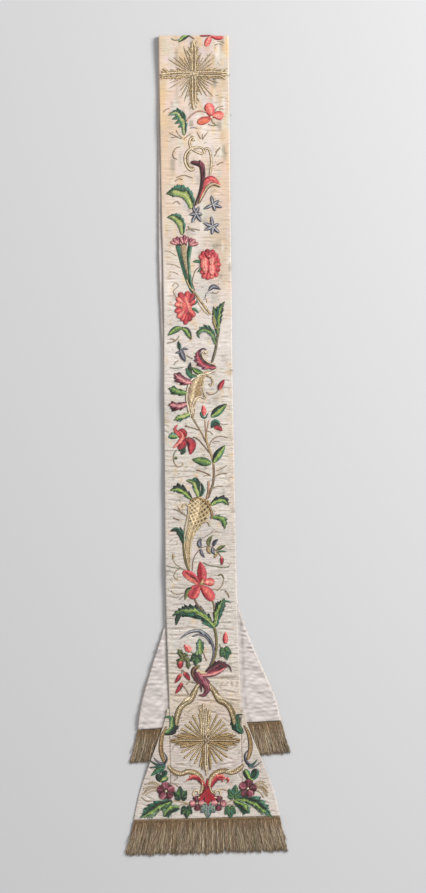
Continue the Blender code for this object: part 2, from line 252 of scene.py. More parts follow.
def read(table, column, at):
    """A column's values on a smooth curve through a table, whose first column is the place."""
    places = np.array([row[0] for row in table], float)
    values = np.array([getattr(row, column) for row in table], float)
    slopes = np.empty_like(values)
    slopes[1:-1] = (values[2:] - values[:-2]) / (places[2:] - places[:-2])
    slopes[0] = (values[1] - values[0]) / (places[1] - places[0])
    slopes[-1] = (values[-1] - values[-2]) / (places[-1] - places[-2])
    at = np.clip(at, places[0], places[-1])
    i = np.clip(np.searchsorted(places, at, side="right") - 1, 0, len(places) - 2)
    span = places[i + 1] - places[i]
    t = (at - places[i]) / span
    start = (1 + 2 * t) * (1 - t) ** 2 * values[i] + t * (1 - t) ** 2 * span * slopes[i]
    end = t * t * (3 - 2 * t) * values[i + 1] + t * t * (t - 1) * span * slopes[i + 1]
    return start + end


def band_half(tail, down):
    return read(tail.sections, "half", down)


def flare_out(tail, down):
    """Width of the gore at a place down the tail."""
    up = tail.length - down
    return np.where(up < tail.spade[-1].up, np.maximum(read(tail.spade, "out", up), 0.0), 0.0)


def hem_angle(tail, down):
    return tail.hem_turn * ease(1 - (tail.length - down) / TURN_REACH)


def spot(tail, down, across):
    """The x and y of a place on a tail."""
    turn = hem_angle(tail, down)
    x = read(tail.sections, "middle", down) + across * np.cos(turn)
    return x, CROWN_Y - down + across * np.sin(turn)


def find(tail, x, y):
    """The way down and across a tail of an x and y, the inverse of spot."""
    down = CROWN_Y - y
    for _ in range(3):
        turn = hem_angle(tail, down)
        across = (x - read(tail.sections, "middle", down)) / np.cos(turn)
        down = CROWN_Y - y + across * np.sin(turn)
    return down, across


print("front tail", FRONT.length, "m, back tail", BACK.length, "m")

# %% [markdown]
# The stiff silk doesn't lie quite flat: low swells lift it, and many short creases cross it.
# The swells are those of the solid. The creases are listed in squares, each a soft trough
# with its own length, turn, bend, depth and width, and a few hundred fine ones are strewn between them.

# %% Swells and creases


class Buckle(NamedTuple):
    """A low swell where the stiff cloth lifts off what it lies on."""

    down: float
    across: float
    high: float
    reach: float
    width: float
    lean: float


BUCKLES = tuple(Buckle(*row) for row in (
    (0.118, -0.03, 0.0011, 0.024, 0.045, 0.1), (0.176, 0.034, 0.0013, 0.026, 0.04, -0.25),
    (0.248, -0.01, 0.0009, 0.022, 0.08, 0.15), (0.312, 0.04, 0.0015, 0.028, 0.036, 0),
    (0.352, -0.038, 0.0012, 0.024, 0.038, 0.3), (0.408, 0.01, 0.001, 0.022, 0.07, -0.12),
    (0.47, -0.042, 0.0016, 0.03, 0.034, 0.05), (0.531, 0.026, 0.0012, 0.024, 0.052, 0.2),
    (0.577, -0.02, 0.0009, 0.021, 0.06, -0.18), (0.64, 0.043, 0.0015, 0.029, 0.034, 0),
    (0.702, -0.034, 0.0013, 0.025, 0.044, 0.22), (0.758, 0.012, 0.001, 0.023, 0.075, -0.1),
    (0.815, -0.042, 0.0014, 0.026, 0.036, 0), (0.846, 0.044, 0.0012, 0.024, 0.034, 0.15),
))


class Crease(NamedTuple):
    """A soft trough.

    Its middle, length and bend are in squares, its turn in degrees, its section in metres.
    """

    x: float
    y: float
    long: float
    turn: float = 0.0
    bend: float = 0.0
    deep: float = 0.00035
    wide: float = 0.0011


CREASES = tuple(Crease(*row) for row in (
    (169, 92, 12, 4), (222, 98, 13, -6), (168, 142, 9, 2), (214, 131, 22, 1, 0, 0.00045),
    (218, 139, 18, -2), (216, 171, 12, -3), (170, 176, 14, 4), (174, 186, 8, -6), (218, 193, 14, 5),
    (168, 204, 10), (208, 238, 22, 2, 0, 0.00045), (215, 246, 20, -3), (168, 231, 10, 3),
    (169, 246, 9, 8), (168, 258, 10, 2), (170, 279, 12, -2, 0, 0.00045), (221, 276, 10, 4),
    (202, 287, 12, -4), (169, 296.5, 10), (171, 305.5, 13, 8, 0, 0.00045), (222, 296, 12, -3),
    (168.5, 316.5, 7, -20), (170, 325, 9, 3), (224, 333, 10, -4), (198, 345, 20, 5, 0.5, 0.00045),
    (168, 352, 9, 2), (223, 356, 14, -2), (168, 374.5, 12, 0, 0, 0.00045), (222, 373, 12, 3),
    (168, 394, 11, 2), (224, 397, 12, -3), (202, 403, 14, 3), (167, 426.5, 9, 25, 0, 0.0005),
    (166.5, 432, 9, 30, 0, 0.0005), (224, 424.5, 9, 3), (171, 451, 19, -1, 0, 0.00056),
    (228, 446, 8, -6), (168, 457, 10, 2), (225, 456.5, 9, 2, 0, 0.0005),
    (172, 466.5, 17, 0, -0.8, 0.00056), (186, 471.5, 32, 1, 0.4, 0.00056), (180, 477, 28, -2),
    (224, 478.5, 14, -6), (224, 486.5, 21, 1, 0, 0.00056), (169, 487, 11, 2), (226, 495.5, 13, -8),
    (172, 494, 12, 4), (176, 500.5, 22, 6, 0, 0.00062), (222, 510.5, 20, 0, 0.5, 0.0005),
    (179, 510, 32, 2, 0, 0.0005), (169, 519, 12, -3), (227, 523, 13, -4), (171, 535, 8, 3),
    (222, 533, 12, 8), (172, 545, 15, 0, 0, 0.0005), (224, 545, 17, 4, -0.8), (169, 551, 9, -3),
    (218, 565.5, 28, 5, 0.6, 0.00067), (172, 572.5, 17, 14, 0, 0.00056), (226, 577, 10, -6),
    (171, 580, 10, -3), (175, 588, 22, 0, 0.5, 0.00067), (222, 590, 16, 2, 0, 0.00056),
    (172, 597, 16, 8, 0, 0.00078, 0.0016), (226, 601.5, 13, 3, 0, 0.0005),
    (177, 604.5, 16, -3, 0, 0.0005), (177, 611, 23, 1, 0, 0.00067), (227, 612, 11, 3, 0, 0.0005),
    (172, 618, 12, -2), (224, 622.5, 21, 1, 0, 0.00078), (177, 628.5, 25, -2, 0, 0.0009, 0.0014),
    (198, 628, 26, 3, 0, 0.00067), (225, 629, 23, 1, 0, 0.00067), (174, 634.8, 17, 1, 0, 0.0005),
    (228, 637, 12, 4), (171, 644, 10, -2), (231, 645.5, 12, -5, 0, 0.0005),
    (173, 653.5, 15, 0, 0, 0.00078), (233, 653.8, 11, 0, 0, 0.00067), (173, 663, 13, 3, 0, 0.00067),
    (232, 663.5, 10, -4, 0, 0.00056), (174, 673.3, 15, 1, 0, 0.00084),
    (224, 677.8, 34, -2, 0, 0.0013, 0.0018), (171, 683, 9, 4), (221, 685, 11, 103, 0.8, 0.00078),
    (231, 683.5, 9, 95, 0, 0.00065), (236.5, 684, 8, 100, 0, 0.00052),
    (191, 681.5, 13, -20, -0.8, 0.00078), (186, 689.5, 10, 65, 0, 0.00065),
    (228, 690.8, 23, 12, 0, 0.00091), (180, 695.5, 27, 0, 0.9, 0.00104, 0.0014),
    (231, 699.5, 22, 8, 0, 0.00091), (206, 700.6, 26, 4, 0, 0.00117, 0.0014),
    (221, 704.5, 11, 32, 0, 0.00091), (189, 711, 13, -38, -0.6, 0.00091),
    (199, 706, 10, -18, 0, 0.00078), (216, 713, 12, 22, 0, 0.00078), (226, 719.5, 12, 35, 0, 0.00078),
    (176, 731.5, 11, -8, 0, 0.00065), (236, 733, 12, 20, 0, 0.00065), (172.5, 748, 9, -60, 0, 0.00065),
    (180, 764.5, 15, 6, -0.8, 0.00091), (190, 761, 12, -50, 0, 0.00065), (232, 748, 14, -28, 0, 0.00078),
    (229, 757.5, 15, 30, 0, 0.00065), (227, 763.2, 19, -12, 0, 0.00091), (240, 751, 10, -50, 0, 0.00065),
    (243, 742, 9, -60, 0, 0.00065), (196, 771, 10, 10, 0, 0.00052), (150, 768, 11, 30, 0, 0.00078),
    (147, 779, 9, 6, 0, 0.00065), (148, 806, 17, 14, 0, 0.00091), (150, 798, 15, 26, 0, 0.00078),
    (176, 784, 10, 18, 0, 0.00065), (222, 790, 14, 4, 0, 0.00052), (240, 776, 10, 60, 0, 0.00065),
    (263, 779, 13, -6, 0, 0.00065), (266, 802, 14, 20, 0, 0.00078), (271, 810.5, 12, -8, 0, 0.00078),
    (258, 770, 12, 40, 0, 0.00065),
))
FINE_CREASES = 900
FINE_SEED = 11
SHOULDER = 0.40
# LIGHT_SIDE is how much painted light brightens a crease's shoulders.
LIGHT_SIDE = 0.30
DEEPER = 1.45
GROUND_MIDDLE = 200
SPADE_TOP = 700
SPADE_HIGH = 118
CREASE_TOP, CREASE_END = 44, 815


def ground_reach(y, half, flare):
    """How far to both sides of its middle line the ground is strewn, in squares."""
    return half + flare * max(y - SPADE_TOP, 0) / SPADE_HIGH


def strew_creases():
    """Fine creases between the main ones, mostly level, shallower near the neck."""
    chance = np.random.default_rng(FINE_SEED)
    made = []
    for _ in range(FINE_CREASES):
        y = chance.uniform(CREASE_TOP, CREASE_END)
        reach = ground_reach(y, 32, 30)
        x = GROUND_MIDDLE + chance.uniform(-reach, reach)
        deep = chance.uniform(0.00010, 0.00034) * (0.6 + 0.4 * min(y / 400, 1))
        turn = chance.normal(0, 6 if y < SPADE_TOP else 24)
        long = 4 + 16 * chance.uniform(0, 1) ** 1.6
        bend = chance.uniform(-0.6, 0.6)
        made.append(Crease(x, y, long, turn, bend, deep, chance.uniform(0.0008, 0.0013)))
    return tuple(made)


def trough(crease, x, y):
    """Height of a crease in metres, and its painted shade: 1 in its bottom, below 0 as painted light on its
    shoulders.
    """
    middle_x, middle_y = ruled(crease.x, crease.y)
    turn = math.radians(-crease.turn)
    half = crease.long * SQUARE / 2
    along = ((x - middle_x) * math.cos(turn) + (y - middle_y) * math.sin(turn)) / half
    aside = (y - middle_y) * math.cos(turn) - (x - middle_x) * math.sin(turn)
    aside = (aside + crease.bend * SQUARE * along * along) / crease.wide
    fade = np.clip(1 - along * along, 0, 1) ** 1.5
    bottom = np.exp(-aside * aside)
    shoulder = np.exp(-((np.abs(aside) - 2.1) / 1.1) ** 2)
    shade = fade * (bottom ** 2 - LIGHT_SIDE * shoulder)
    return DEEPER * crease.deep * fade * (SHOULDER * shoulder - bottom), shade


ALL_CREASES = CREASES + strew_creases()
print(len(CREASES), "creases placed by hand and", FINE_CREASES, "fine ones")

# %% [markdown]
# Embroidery holds the silk flat, so the creases fade out under a motif.
# For that the motifs are drawn flat first. Their points are counted on a coarse grid of cells,
# which is blurred once and read back wherever the cloth's height is worked out.

# %% Cover
COVER_CELL = 0.0010
COVER_LOW = (-0.12, -0.56)
COVER_CELLS = (240, 1120)
cover = np.zeros(COVER_CELLS)


def cover_cells(x, y):
    i = np.clip(((x - COVER_LOW[0]) / COVER_CELL).astype(int), 0, COVER_CELLS[0] - 1)
    j = np.clip(((y - COVER_LOW[1]) / COVER_CELL).astype(int), 0, COVER_CELLS[1] - 1)
    return i, j


def mark_cover(x, y):
    """Marks the cells that a flat motif covers."""
    cover[cover_cells(x, y)] = 1.0


def soften_cover():
    """Blurs the marks a little, so that creases fade out instead of stopping."""
    soft = cover.copy()
    for axis in (0, 1):
        soft = (np.roll(soft, 1, axis) + 2 * soft + np.roll(soft, -1, axis)) / 4
    cover[:] = np.clip(soft * 1.6, 0, 1)


print("cover grid", COVER_CELLS)

# %% [markdown]
# The height of the embroidered face is the solid's own height plus the creases.
# Near the neck the cloth turns round a half circle of 3.5 mm, and whatever lies on it turns with it.

# %% Height of the face
UNDER_MOTIF = 0.88
# DARK_DEPTH is the crease depth at which its painted shade is full.
DARK_DEPTH = 0.00055
DEEPEST = 0.00115


def swell(down, across):
    """How far the buckles lift the front tail."""
    total = 0.0
    for b in BUCKLES:
        along = (down - b.down - b.lean * across) / b.reach
        side = (across - b.across) / b.width
        total = total + b.high * np.exp(-along * along - side * side)
    return total


def face_top(down, across):
    """Height of the solid's embroidered surface."""
    bulge = (2 * FOLD_RADIUS - FACE_THICK - STACK) * (1 - ease((down - FOLD_RADIUS) / FOLD_SETTLE))
    on_back = STACK * (1 - ease((down - DROP_START) / DROP_LENGTH))
    return FACE_THICK + on_back + bulge + swell(down, across)


def pucker(x, y):
    """Height that the creases add, and their painted shade and light, away from the motifs and the fold."""
    high = np.zeros_like(x)
    dark = np.zeros_like(x)
    order = np.argsort(y)
    climbing = y[order]
    for crease in ALL_CREASES:
        reach = (crease.long / 2 + 4) * SQUARE
        rise = (crease.long / 2 * abs(math.sin(math.radians(crease.turn))) + 4) * SQUARE
        middle_x, middle_y = ruled(crease.x, crease.y)
        first, last = np.searchsorted(climbing, (middle_y - rise, middle_y + rise))
        near = order[first:last]
        near = near[np.abs(x[near] - middle_x) < reach]
        dip, shade = trough(crease, x[near], y[near])
        high[near] += dip
        # The creases' painted shade, darkest in their bottoms, adds up here.
        dark[near] += shade * min(crease.deep / DARK_DEPTH, 1.3)
    free = 1 - UNDER_MOTIF * cover[cover_cells(x, y)]
    free = free * ease((CROWN_Y - y - FOLD_RADIUS) / 0.008)
    return np.maximum(high * free, -DEEPEST), np.clip(dark, -0.45, 1.1) * free


def face(down, across, lift):
    """Points at a lift above the embroidered face, given the way down and across it."""
    x, y = spot(FRONT, down, across)
    high, _ = pucker(x, y)
    z = face_top(down, across) + high + lift
    turn = np.minimum(down - FOLD_RADIUS, 0.0) / FOLD_RADIUS
    radius = FOLD_RADIUS + lift
    bent = down < FOLD_RADIUS
    y = np.where(bent, FOLD_Y + radius * np.sin(-turn), y)
    z = np.where(bent, FOLD_RADIUS + radius * np.cos(turn), z)
    return np.stack([x, y, z], 1)


print("face height at mid-length", float(face_top(np.array([0.5]), np.array([0.0]))[0]))

# %% [markdown]
# Colours are written as they look on the cloth, from 0 to 255, and turned to the linear values
# that Blender calculates with. Silk threads have plain dyers' names.

# %% Thread colours
THREADS = {
    "ink": (27, 34, 28),
    "bottle": (34, 70, 46),
    "grass": (84, 122, 62),
    "moss": (96, 104, 54),
    "olive": (128, 124, 74),
    "lime": (158, 178, 92),
    "straw": (196, 190, 138),
    "teal": (60, 116, 94),
    "sage": (134, 158, 128),
    "slate": (86, 88, 100),
    "smoke": (152, 152, 158),
    "mist": (190, 190, 192),
    "indigo": (48, 48, 66),
    "blush": (236, 172, 158),
    "coral": (232, 118, 104),
    "ember": (224, 112, 72),
    "rose": (206, 78, 86),
    "cherry": (184, 54, 62),
    "crimson": (150, 34, 44),
    "maroon": (78, 26, 32),
    "plum": (134, 62, 78),
    "mauve": (188, 116, 126),
    "scarlet": (186, 26, 36),
    "umber": (98, 76, 54),
    "bark": (134, 108, 80),
    "tan": (176, 148, 114),
    "cream": (228, 212, 186),
    "taupe": (148, 134, 112),
    "gold deep": (106, 82, 54),
    "gold dark": (148, 117, 72),
    "gold": (192, 160, 108),
    "gold pale": (223, 200, 152),
    "gold light": (242, 230, 202),
    "dull": (164, 142, 116),
    "dull pale": (198, 180, 154),
    "dull brown": (138, 110, 82),
    "dull green": (142, 130, 98),
    "heading": (142, 114, 84),
    "heading pale": (156, 130, 98),
}


def linear(colour):
    """Linear light from a colour as it looks, from 0 to 255."""
    share = np.asarray(colour, float) / 255
    return np.where(share <= 0.04045, share / 12.92, ((share + 0.055) / 1.055) ** 2.4)


LINEAR_THREADS = {name: linear(colour) for name, colour in THREADS.items()}
print(len(THREADS), "thread colours")


class Silk(NamedTuple):
    """Threads of a motif from its left edge to its right edge, walking from root to tip."""

    rows: tuple
    tip: str = ""
    root: str = ""
    bars: float = 0.0
    bar: str = ""
    reach: float = 0.35


def dyed(rows, **rest):
    """A way of shading, its rows written as one line of thread colours."""
    return Silk(tuple(rows.split(", ")), **rest)


SILKS = {
    "acanthus": dyed("teal, sage, lime, lime, straw, lime, ink, bottle, teal", tip="bottle", reach=0.4),
    "spine leaf": dyed("ink, bottle, lime, grass, ink, teal, bottle", tip="bottle"),
    "dark leaf": dyed("ink, ink, bottle, lime, lime, grass, teal", tip="ink", reach=0.2),
    "meadow leaf": dyed("bottle, grass, lime, grass, grass, bottle", tip="bottle", reach=0.2),
    "lime leaf": dyed("grass, lime, straw, lime, bottle, teal", tip="grass"),
    "teal leaf": dyed("teal, teal, grass, bottle", tip="teal"),
    "bottle leaf": dyed("bottle, bottle, ink, teal", tip="ink"),
    "night leaf": dyed("ink, bottle, ink", tip="ink"),
    "sage leaf": dyed("teal, sage, lime, grass, bottle", tip="teal"),
    "grey leaf": dyed("bottle, teal, smoke, slate, sage, sage", tip="slate"),
    "strap leaf": dyed("teal, bottle, ink, ink, grass, lime, bottle, sage", tip="teal", reach=0.2),
    "calyx": dyed("bottle, teal, bottle", tip="ink"),
    "olive leaf": dyed("moss, olive, moss, ink", tip="moss"),
    "husk": dyed("olive, gold, tan, gold dark", tip="olive"),
    "star": dyed("indigo, slate, mist, smoke, slate, indigo", tip="slate", reach=0.25),
    "dusk": dyed("indigo, slate, smoke, slate, indigo", tip="indigo", reach=0.45),
    "night": dyed("indigo, indigo, slate", tip="slate"),
    "smoke": dyed("slate, smoke, mist, slate, indigo", tip="slate"),
    "coral": dyed("cherry, coral, coral, blush, coral, rose", tip="coral", root="crimson"),
    "ember": dyed("rose, ember, ember, coral, ember, cherry", tip="ember", root="crimson"),
    "rose": dyed("crimson, rose, coral, rose, cherry, crimson", tip="rose", root="crimson"),
    "pale rose": dyed("cherry, coral, blush, coral, rose", tip="coral", root="cherry"),
    "crimson": dyed("maroon, crimson, cherry, crimson, maroon", tip="crimson", root="maroon"),
    "lily left": dyed("blush, coral, coral, maroon, crimson, rose", tip="rose", root="cherry"),
    "lily right": dyed("cherry, rose, coral, coral, rose, crimson", tip="rose", root="crimson"),
    "wine": dyed("maroon, plum, mauve, plum, maroon", tip="plum", root="maroon"),
    "wine leaf": dyed("maroon, plum, mauve, blush, mauve, plum, maroon", tip="maroon", reach=0.2),
    "plum scroll": dyed("maroon, ink, maroon, maroon, ink", tip="maroon", root="plum"),
    "crimson scroll": dyed("ink, maroon, plum, rose, mauve, plum", tip="maroon", reach=0.2),
    "dark wine": dyed("maroon, ink, maroon, plum, maroon", tip="maroon"),
    "pansy": dyed("maroon, mauve, plum, plum, maroon", tip="mauve", root="ink", reach=0.3),
    "dark pansy": dyed("maroon, maroon, plum, maroon, maroon", tip="plum", root="ink", reach=0.3),
    "pink pansy": dyed("plum, mauve, blush, mauve", tip="plum", root="maroon", reach=0.3),
    "fleur": dyed(
        "maroon, crimson, scarlet, crimson, scarlet, maroon",
        tip="crimson", root="maroon", reach=0.3,
    ),
    "fleur curl": dyed(
        "maroon, crimson, crimson, cherry, coral",
        tip="blush", root="crimson", reach=0.24,
    ),
    "bud": dyed("crimson, rose, coral, rose", tip="coral"),
    "crimson bud": dyed("maroon, crimson, cherry, crimson", tip="crimson", root="coral", reach=0.25),
    "pink bud": dyed("coral, blush, rose, coral", tip="coral"),
    "cone": dyed(
        "umber, tan, olive, tan, umber",
        tip="umber", root="tan", bars=1.7, bar="dull pale", reach=0.4,
    ),
    "core": dyed("umber, straw, olive, umber", tip="umber", bars=1.6, bar="umber"),
    "rope": dyed("umber, tan, bark", bars=1.5, bar="umber"),
    # Gold silks: pale middles and dark edges across a gold cord are painted highlight and shade.
    "gilt rope": dyed("gold dark, gold, gold pale, bark", bars=1.8, bar="bark"),
    "olive rope": dyed("umber, olive, gold dark, umber", bars=2.4, bar="moss"),
    "twig": dyed("taupe, bark, taupe", bars=1.7, bar="tan"),
    "sage twig": dyed("sage, taupe, sage", bars=1.9, bar="taupe"),
    "plum twig": dyed("taupe, plum, taupe", bars=1.6, bar="bark"),
    "cream cord": dyed("tan, cream, tan", bars=1.3, bar="gold pale"),
    "net": dyed("bark, blush, tan, bark", bars=1.4, bar="bark"),
    "spray": dyed("gold, gold pale, taupe", bars=1.5, bar="tan"),
    "knot": dyed("gold dark, gold light, gold pale", tip="gold pale"),
    "gilt": dyed("gold dark, gold pale, gold light, gold pale, gold deep", bars=2.2, bar="gold"),
    "gilt light": dyed("gold, gold light, cream, gold light, gold dark", bars=1.6, bar="gold"),
    "gilt dark": dyed("gold deep, gold dark, gold, gold deep"),
    "pale gilt": dyed("gold, cream, cream, gold pale, gold"),
    "olive gilt": dyed(
        "gold deep, olive, gold dark, gold light, gold, olive, gold deep",
        bars=1.9, bar="gold dark",
    ),
    "brown gilt": dyed("gold deep, gold dark, gold, gold dark, gold deep", bars=1.9, bar="gold dark"),
    "shell ground": dyed("cream, tan, gold, tan, gold pale, tan, bark"),
    "horn ground": dyed("bark, umber, bark, tan, bark, umber"),
    "seam thread": dyed("tan, tan, bark"),
    "cherry": dyed("crimson, cherry, rose, cherry, crimson", tip="cherry", root="maroon"),
    "heather": dyed("plum, mauve, blush, mauve, plum", tip="plum", root="maroon"),
    "ray gilt": dyed("gold deep, gold dark, gold, gold dark, gold deep", bars=1.9, bar="gold pale"),
    "ray pale": dyed("dull, gold pale, dull"),
    "lily top": dyed("crimson, cherry, crimson, cherry, rose, cherry", tip="crimson", root="crimson"),
    "lily low": dyed("rose, coral, cherry, crimson, rose, cherry", tip="cherry", root="crimson"),
    "ivy": dyed("bottle, grass, bottle, ink, bottle", tip="ink", reach=0.2),
    "teal ivy": dyed("bottle, teal, ink, grass, bottle", tip="teal", reach=0.2),
    "peach cord": dyed("bark, blush, tan"),
    "thistle left": dyed("sage, teal, bottle, bottle, ink", tip="teal", reach=0.3),
    "thistle right": dyed("ink, bottle, bottle, teal, sage", tip="teal", reach=0.2),
    "berry leaf": dyed("bottle, moss, olive, ink, moss", tip="bottle"),
    "feather": dyed("maroon, plum, rose, blush, mauve, plum", tip="maroon", root="plum", reach=0.25),
    "night teal": dyed("indigo, bottle, teal, ink", tip="ink"),
    "lime streak": dyed("grass, lime, straw, lime", tip="lime"),
    "bright lobe": dyed(
        "rose, coral, blush, coral, blush, coral, cherry",
        tip="coral", root="rose", reach=0.25,
    ),
    "maroon vein": dyed("crimson, maroon, crimson"),
    "frame leaf": dyed(
        "teal, sage, lime, grass, bottle, ink, ink, ink",
        tip="bottle", root="bottle", reach=0.3,
    ),
    # These gold silks too paint highlight and shade as paler and darker tones of one gold.
    "gold edge": dyed("gold deep, gold dark, gold deep"),
    "shell rim": dyed("bark, gold light, cream, cream, bark"),
    "gold under": dyed("gold deep, umber, gold deep"),
    "sweep gilt": dyed("gold dark, gold, gold light, gold, gold dark", bars=2.0, bar="gold dark"),
    "teal frame": dyed("ink, bottle, ink, teal, bottle, grass, bottle, ink", tip="ink", reach=0.3),
    "wine streak": dyed("maroon, plum, mauve, plum, maroon, plum, maroon", tip="maroon", reach=0.4),
    "petal red": dyed("crimson, rose, coral, rose, rose, blush", tip="rose", root="crimson"),
    "frost leaf": dyed("sage, teal, sage, grass, lime, ink, bottle, teal", tip="bottle", reach=0.25),
    "dark vine": dyed("ink, moss, umber, ink", bars=2.2, bar="taupe"),
    "deep red": dyed("maroon, crimson, cherry, rose, crimson, maroon", tip="cherry", root="maroon"),
    "soft acanthus": dyed("sage, teal, sage, lime, straw, bottle, ink, teal", tip="sage", reach=0.3),
    "stray": dyed("tan, taupe, tan"),
    "stray green": dyed("sage, olive, taupe"),
    "tan gilt": dyed("gold dark, gold, gold pale, gold, dull"),
}
print(len(SILKS), "ways of shading")

# %% [markdown]
# A stitched motif is a padded blade: a strip along a smooth line that swells, bites into teeth
# and ends in points. Every stem, leaf, petal and gold cord is one blade, so one function makes them.
# It starts from a grid, rolls the grid round so that its last column meets its first under the cloth,
# and merges that seam and both poles, which leaves a closed form.

# %% Blades
CELL = 0.75
SINK = 0.00012
MERGE = 1e-6
RAGGED = 0.07


class Cut(NamedTuple):
    """How a kind of motif is cut: its outline, how far it stands up, and how its edge bites."""

    outline: str
    rise: float
    columns: int
    bite: float = 0.0
    slant: float = 0.0
    vein: float = 0.0
    lobed: bool = False


CUTS = {
    "stem": Cut("even", 0.00055, 4),
    "cord": Cut("even", 0.00080, 6),
    "leaf": Cut("leaf", 0.00080, 10, vein=0.35),
    "toothed": Cut("leaf", 0.00085, 10, bite=0.30, slant=0.7, vein=0.35),
    "spiny": Cut("leaf", 0.00085, 12, bite=0.52, slant=1.3, vein=0.35),
    "scallop": Cut("leaf", 0.00085, 14, bite=0.34, slant=1.1, vein=0.35, lobed=True),
    "petal": Cut("petal", 0.00095, 12),
    "pointed": Cut("spindle", 0.00090, 9),
    "bud": Cut("bud", 0.00100, 8),
    "claw": Cut("claw", 0.00085, 8),
    "ray": Cut("spindle", 0.00070, 4),
    "ribbon": Cut("even", 0.00105, 18, bite=0.15, lobed=True),
    "panel": Cut("even", 0.00090, 34),
}


def outline(kind, u):
    """Half-width of a blade from 0 to 1, at shares of its length."""
    if kind == "even":
        return np.sqrt(np.clip(np.minimum(u / 0.05, (1 - u) / 0.05), 0, 1))
    if kind == "leaf":
        return np.sin(np.pi * u ** 0.80) ** 0.80
    if kind == "petal":
        tip = np.sqrt(np.clip(1 - ((u - 0.62) / 0.38) ** 2, 0, 1))
        return np.where(u > 0.62, tip, np.sin(np.pi / 2 * u / 0.62) ** 0.7)
    if kind == "spindle":
        return np.sin(np.pi * u ** 0.9) ** 0.72
    if kind == "bud":
        return np.sin(np.pi * u ** 0.72) ** 0.62
    return np.sqrt(np.clip(u / 0.08, 0, 1)) * np.clip(1 - u, 0, 1) ** 0.6


def smooth_line(points, spacing, least=4):
    """Evenly spaced places on a smooth line through a few points, and the line's length."""
    rows = np.array(points, float)
    ends = np.vstack([2 * rows[0] - rows[1], rows, 2 * rows[-1] - rows[-2]])
    t = np.linspace(0, 1, 13)[:-1, None]
    parts = []
    for a, b, c, d in zip(ends, ends[1:], ends[2:], ends[3:]):
        bend = 2 * b + (c - a) * t + (2 * a - 5 * b + 4 * c - d) * t * t
        parts.append((bend + (3 * b - a - 3 * c + d) * t ** 3) / 2)
    dense = np.vstack(parts + [rows[-1:]])
    run = np.concatenate([[0], np.cumsum(np.hypot(*(dense[1:, :2] - dense[:-1, :2]).T))])
    count = max(int(math.ceil(run[-1] / spacing)), least)
    at = np.linspace(0, run[-1], count + 1)
    return np.stack([np.interp(at, run, column) for column in dense.T], 1), run[-1]


def shade(silk, u, v, along):
    """Thread colours over a blade: rows from edge to edge, ragged where they meet, and bars across."""
    ragged = 0.085 * np.sin(along * 7.9 + 3 * v) + 0.070 * np.sin(along * 17.3 + 1.7)
    place = np.clip((v + ragged + 1) / 2, 0, 0.9999) * len(silk.rows)
    low = np.floor(place).astype(int)
    blend = ease((place - low - 0.72) / 0.28)[..., None]
    table = np.array([LINEAR_THREADS[name] for name in silk.rows])
    colour = table[low] * (1 - blend) + table[np.minimum(low + 1, len(table) - 1)] * blend
    if silk.bars:
        bar = np.sin(2 * np.pi * along / silk.bars + 2.2 * v) > 0.45
        colour = np.where(bar[..., None], LINEAR_THREADS[silk.bar], colour)
    for name, share in ((silk.tip, u), (silk.root, 1 - u)):
        if name:
            pull = 0.8 * ease((share + ragged - 1 + silk.reach) / silk.reach)[..., None]
            colour = colour * (1 - pull) + LINEAR_THREADS[name] * pull
    tone = 1 + 0.11 * np.sin(along * 5.1 + 9 * v) + 0.09 * np.sin(along * 12.7 - 4 * v)
    return colour * tone[..., None]


def roll_up(pad, places, colours, threads):
    """Rolls a grid of places (rows, columns) into a closed blade, with its colours and thread lines."""
    rows, columns = places.shape[0] - 1, places.shape[1]
    bm = bmesh.new()
    colour_layer = bm.verts.layers.float_color.new("silk")
    thread_layer = bm.verts.layers.float_vector.new("thread")
    bmesh.ops.create_grid(bm, x_segments=columns, y_segments=rows, size=1)
    for vert in bm.verts:
        column = round((vert.co.x + 1) / 2 * columns) % columns
        row = round((vert.co.y + 1) / 2 * rows)
        vert.co = places[row, column]
        vert[colour_layer] = (*colours[row, column], 1.0)
        vert[thread_layer] = threads[row, column]
    bmesh.ops.remove_doubles(bm, verts=bm.verts[:], dist=MERGE)
    bmesh.ops.recalc_face_normals(bm, faces=bm.faces[:])
    mesh = bpy.data.meshes.new("blade")
    bm.to_mesh(mesh)
    bm.free()
    pad.append(mesh)


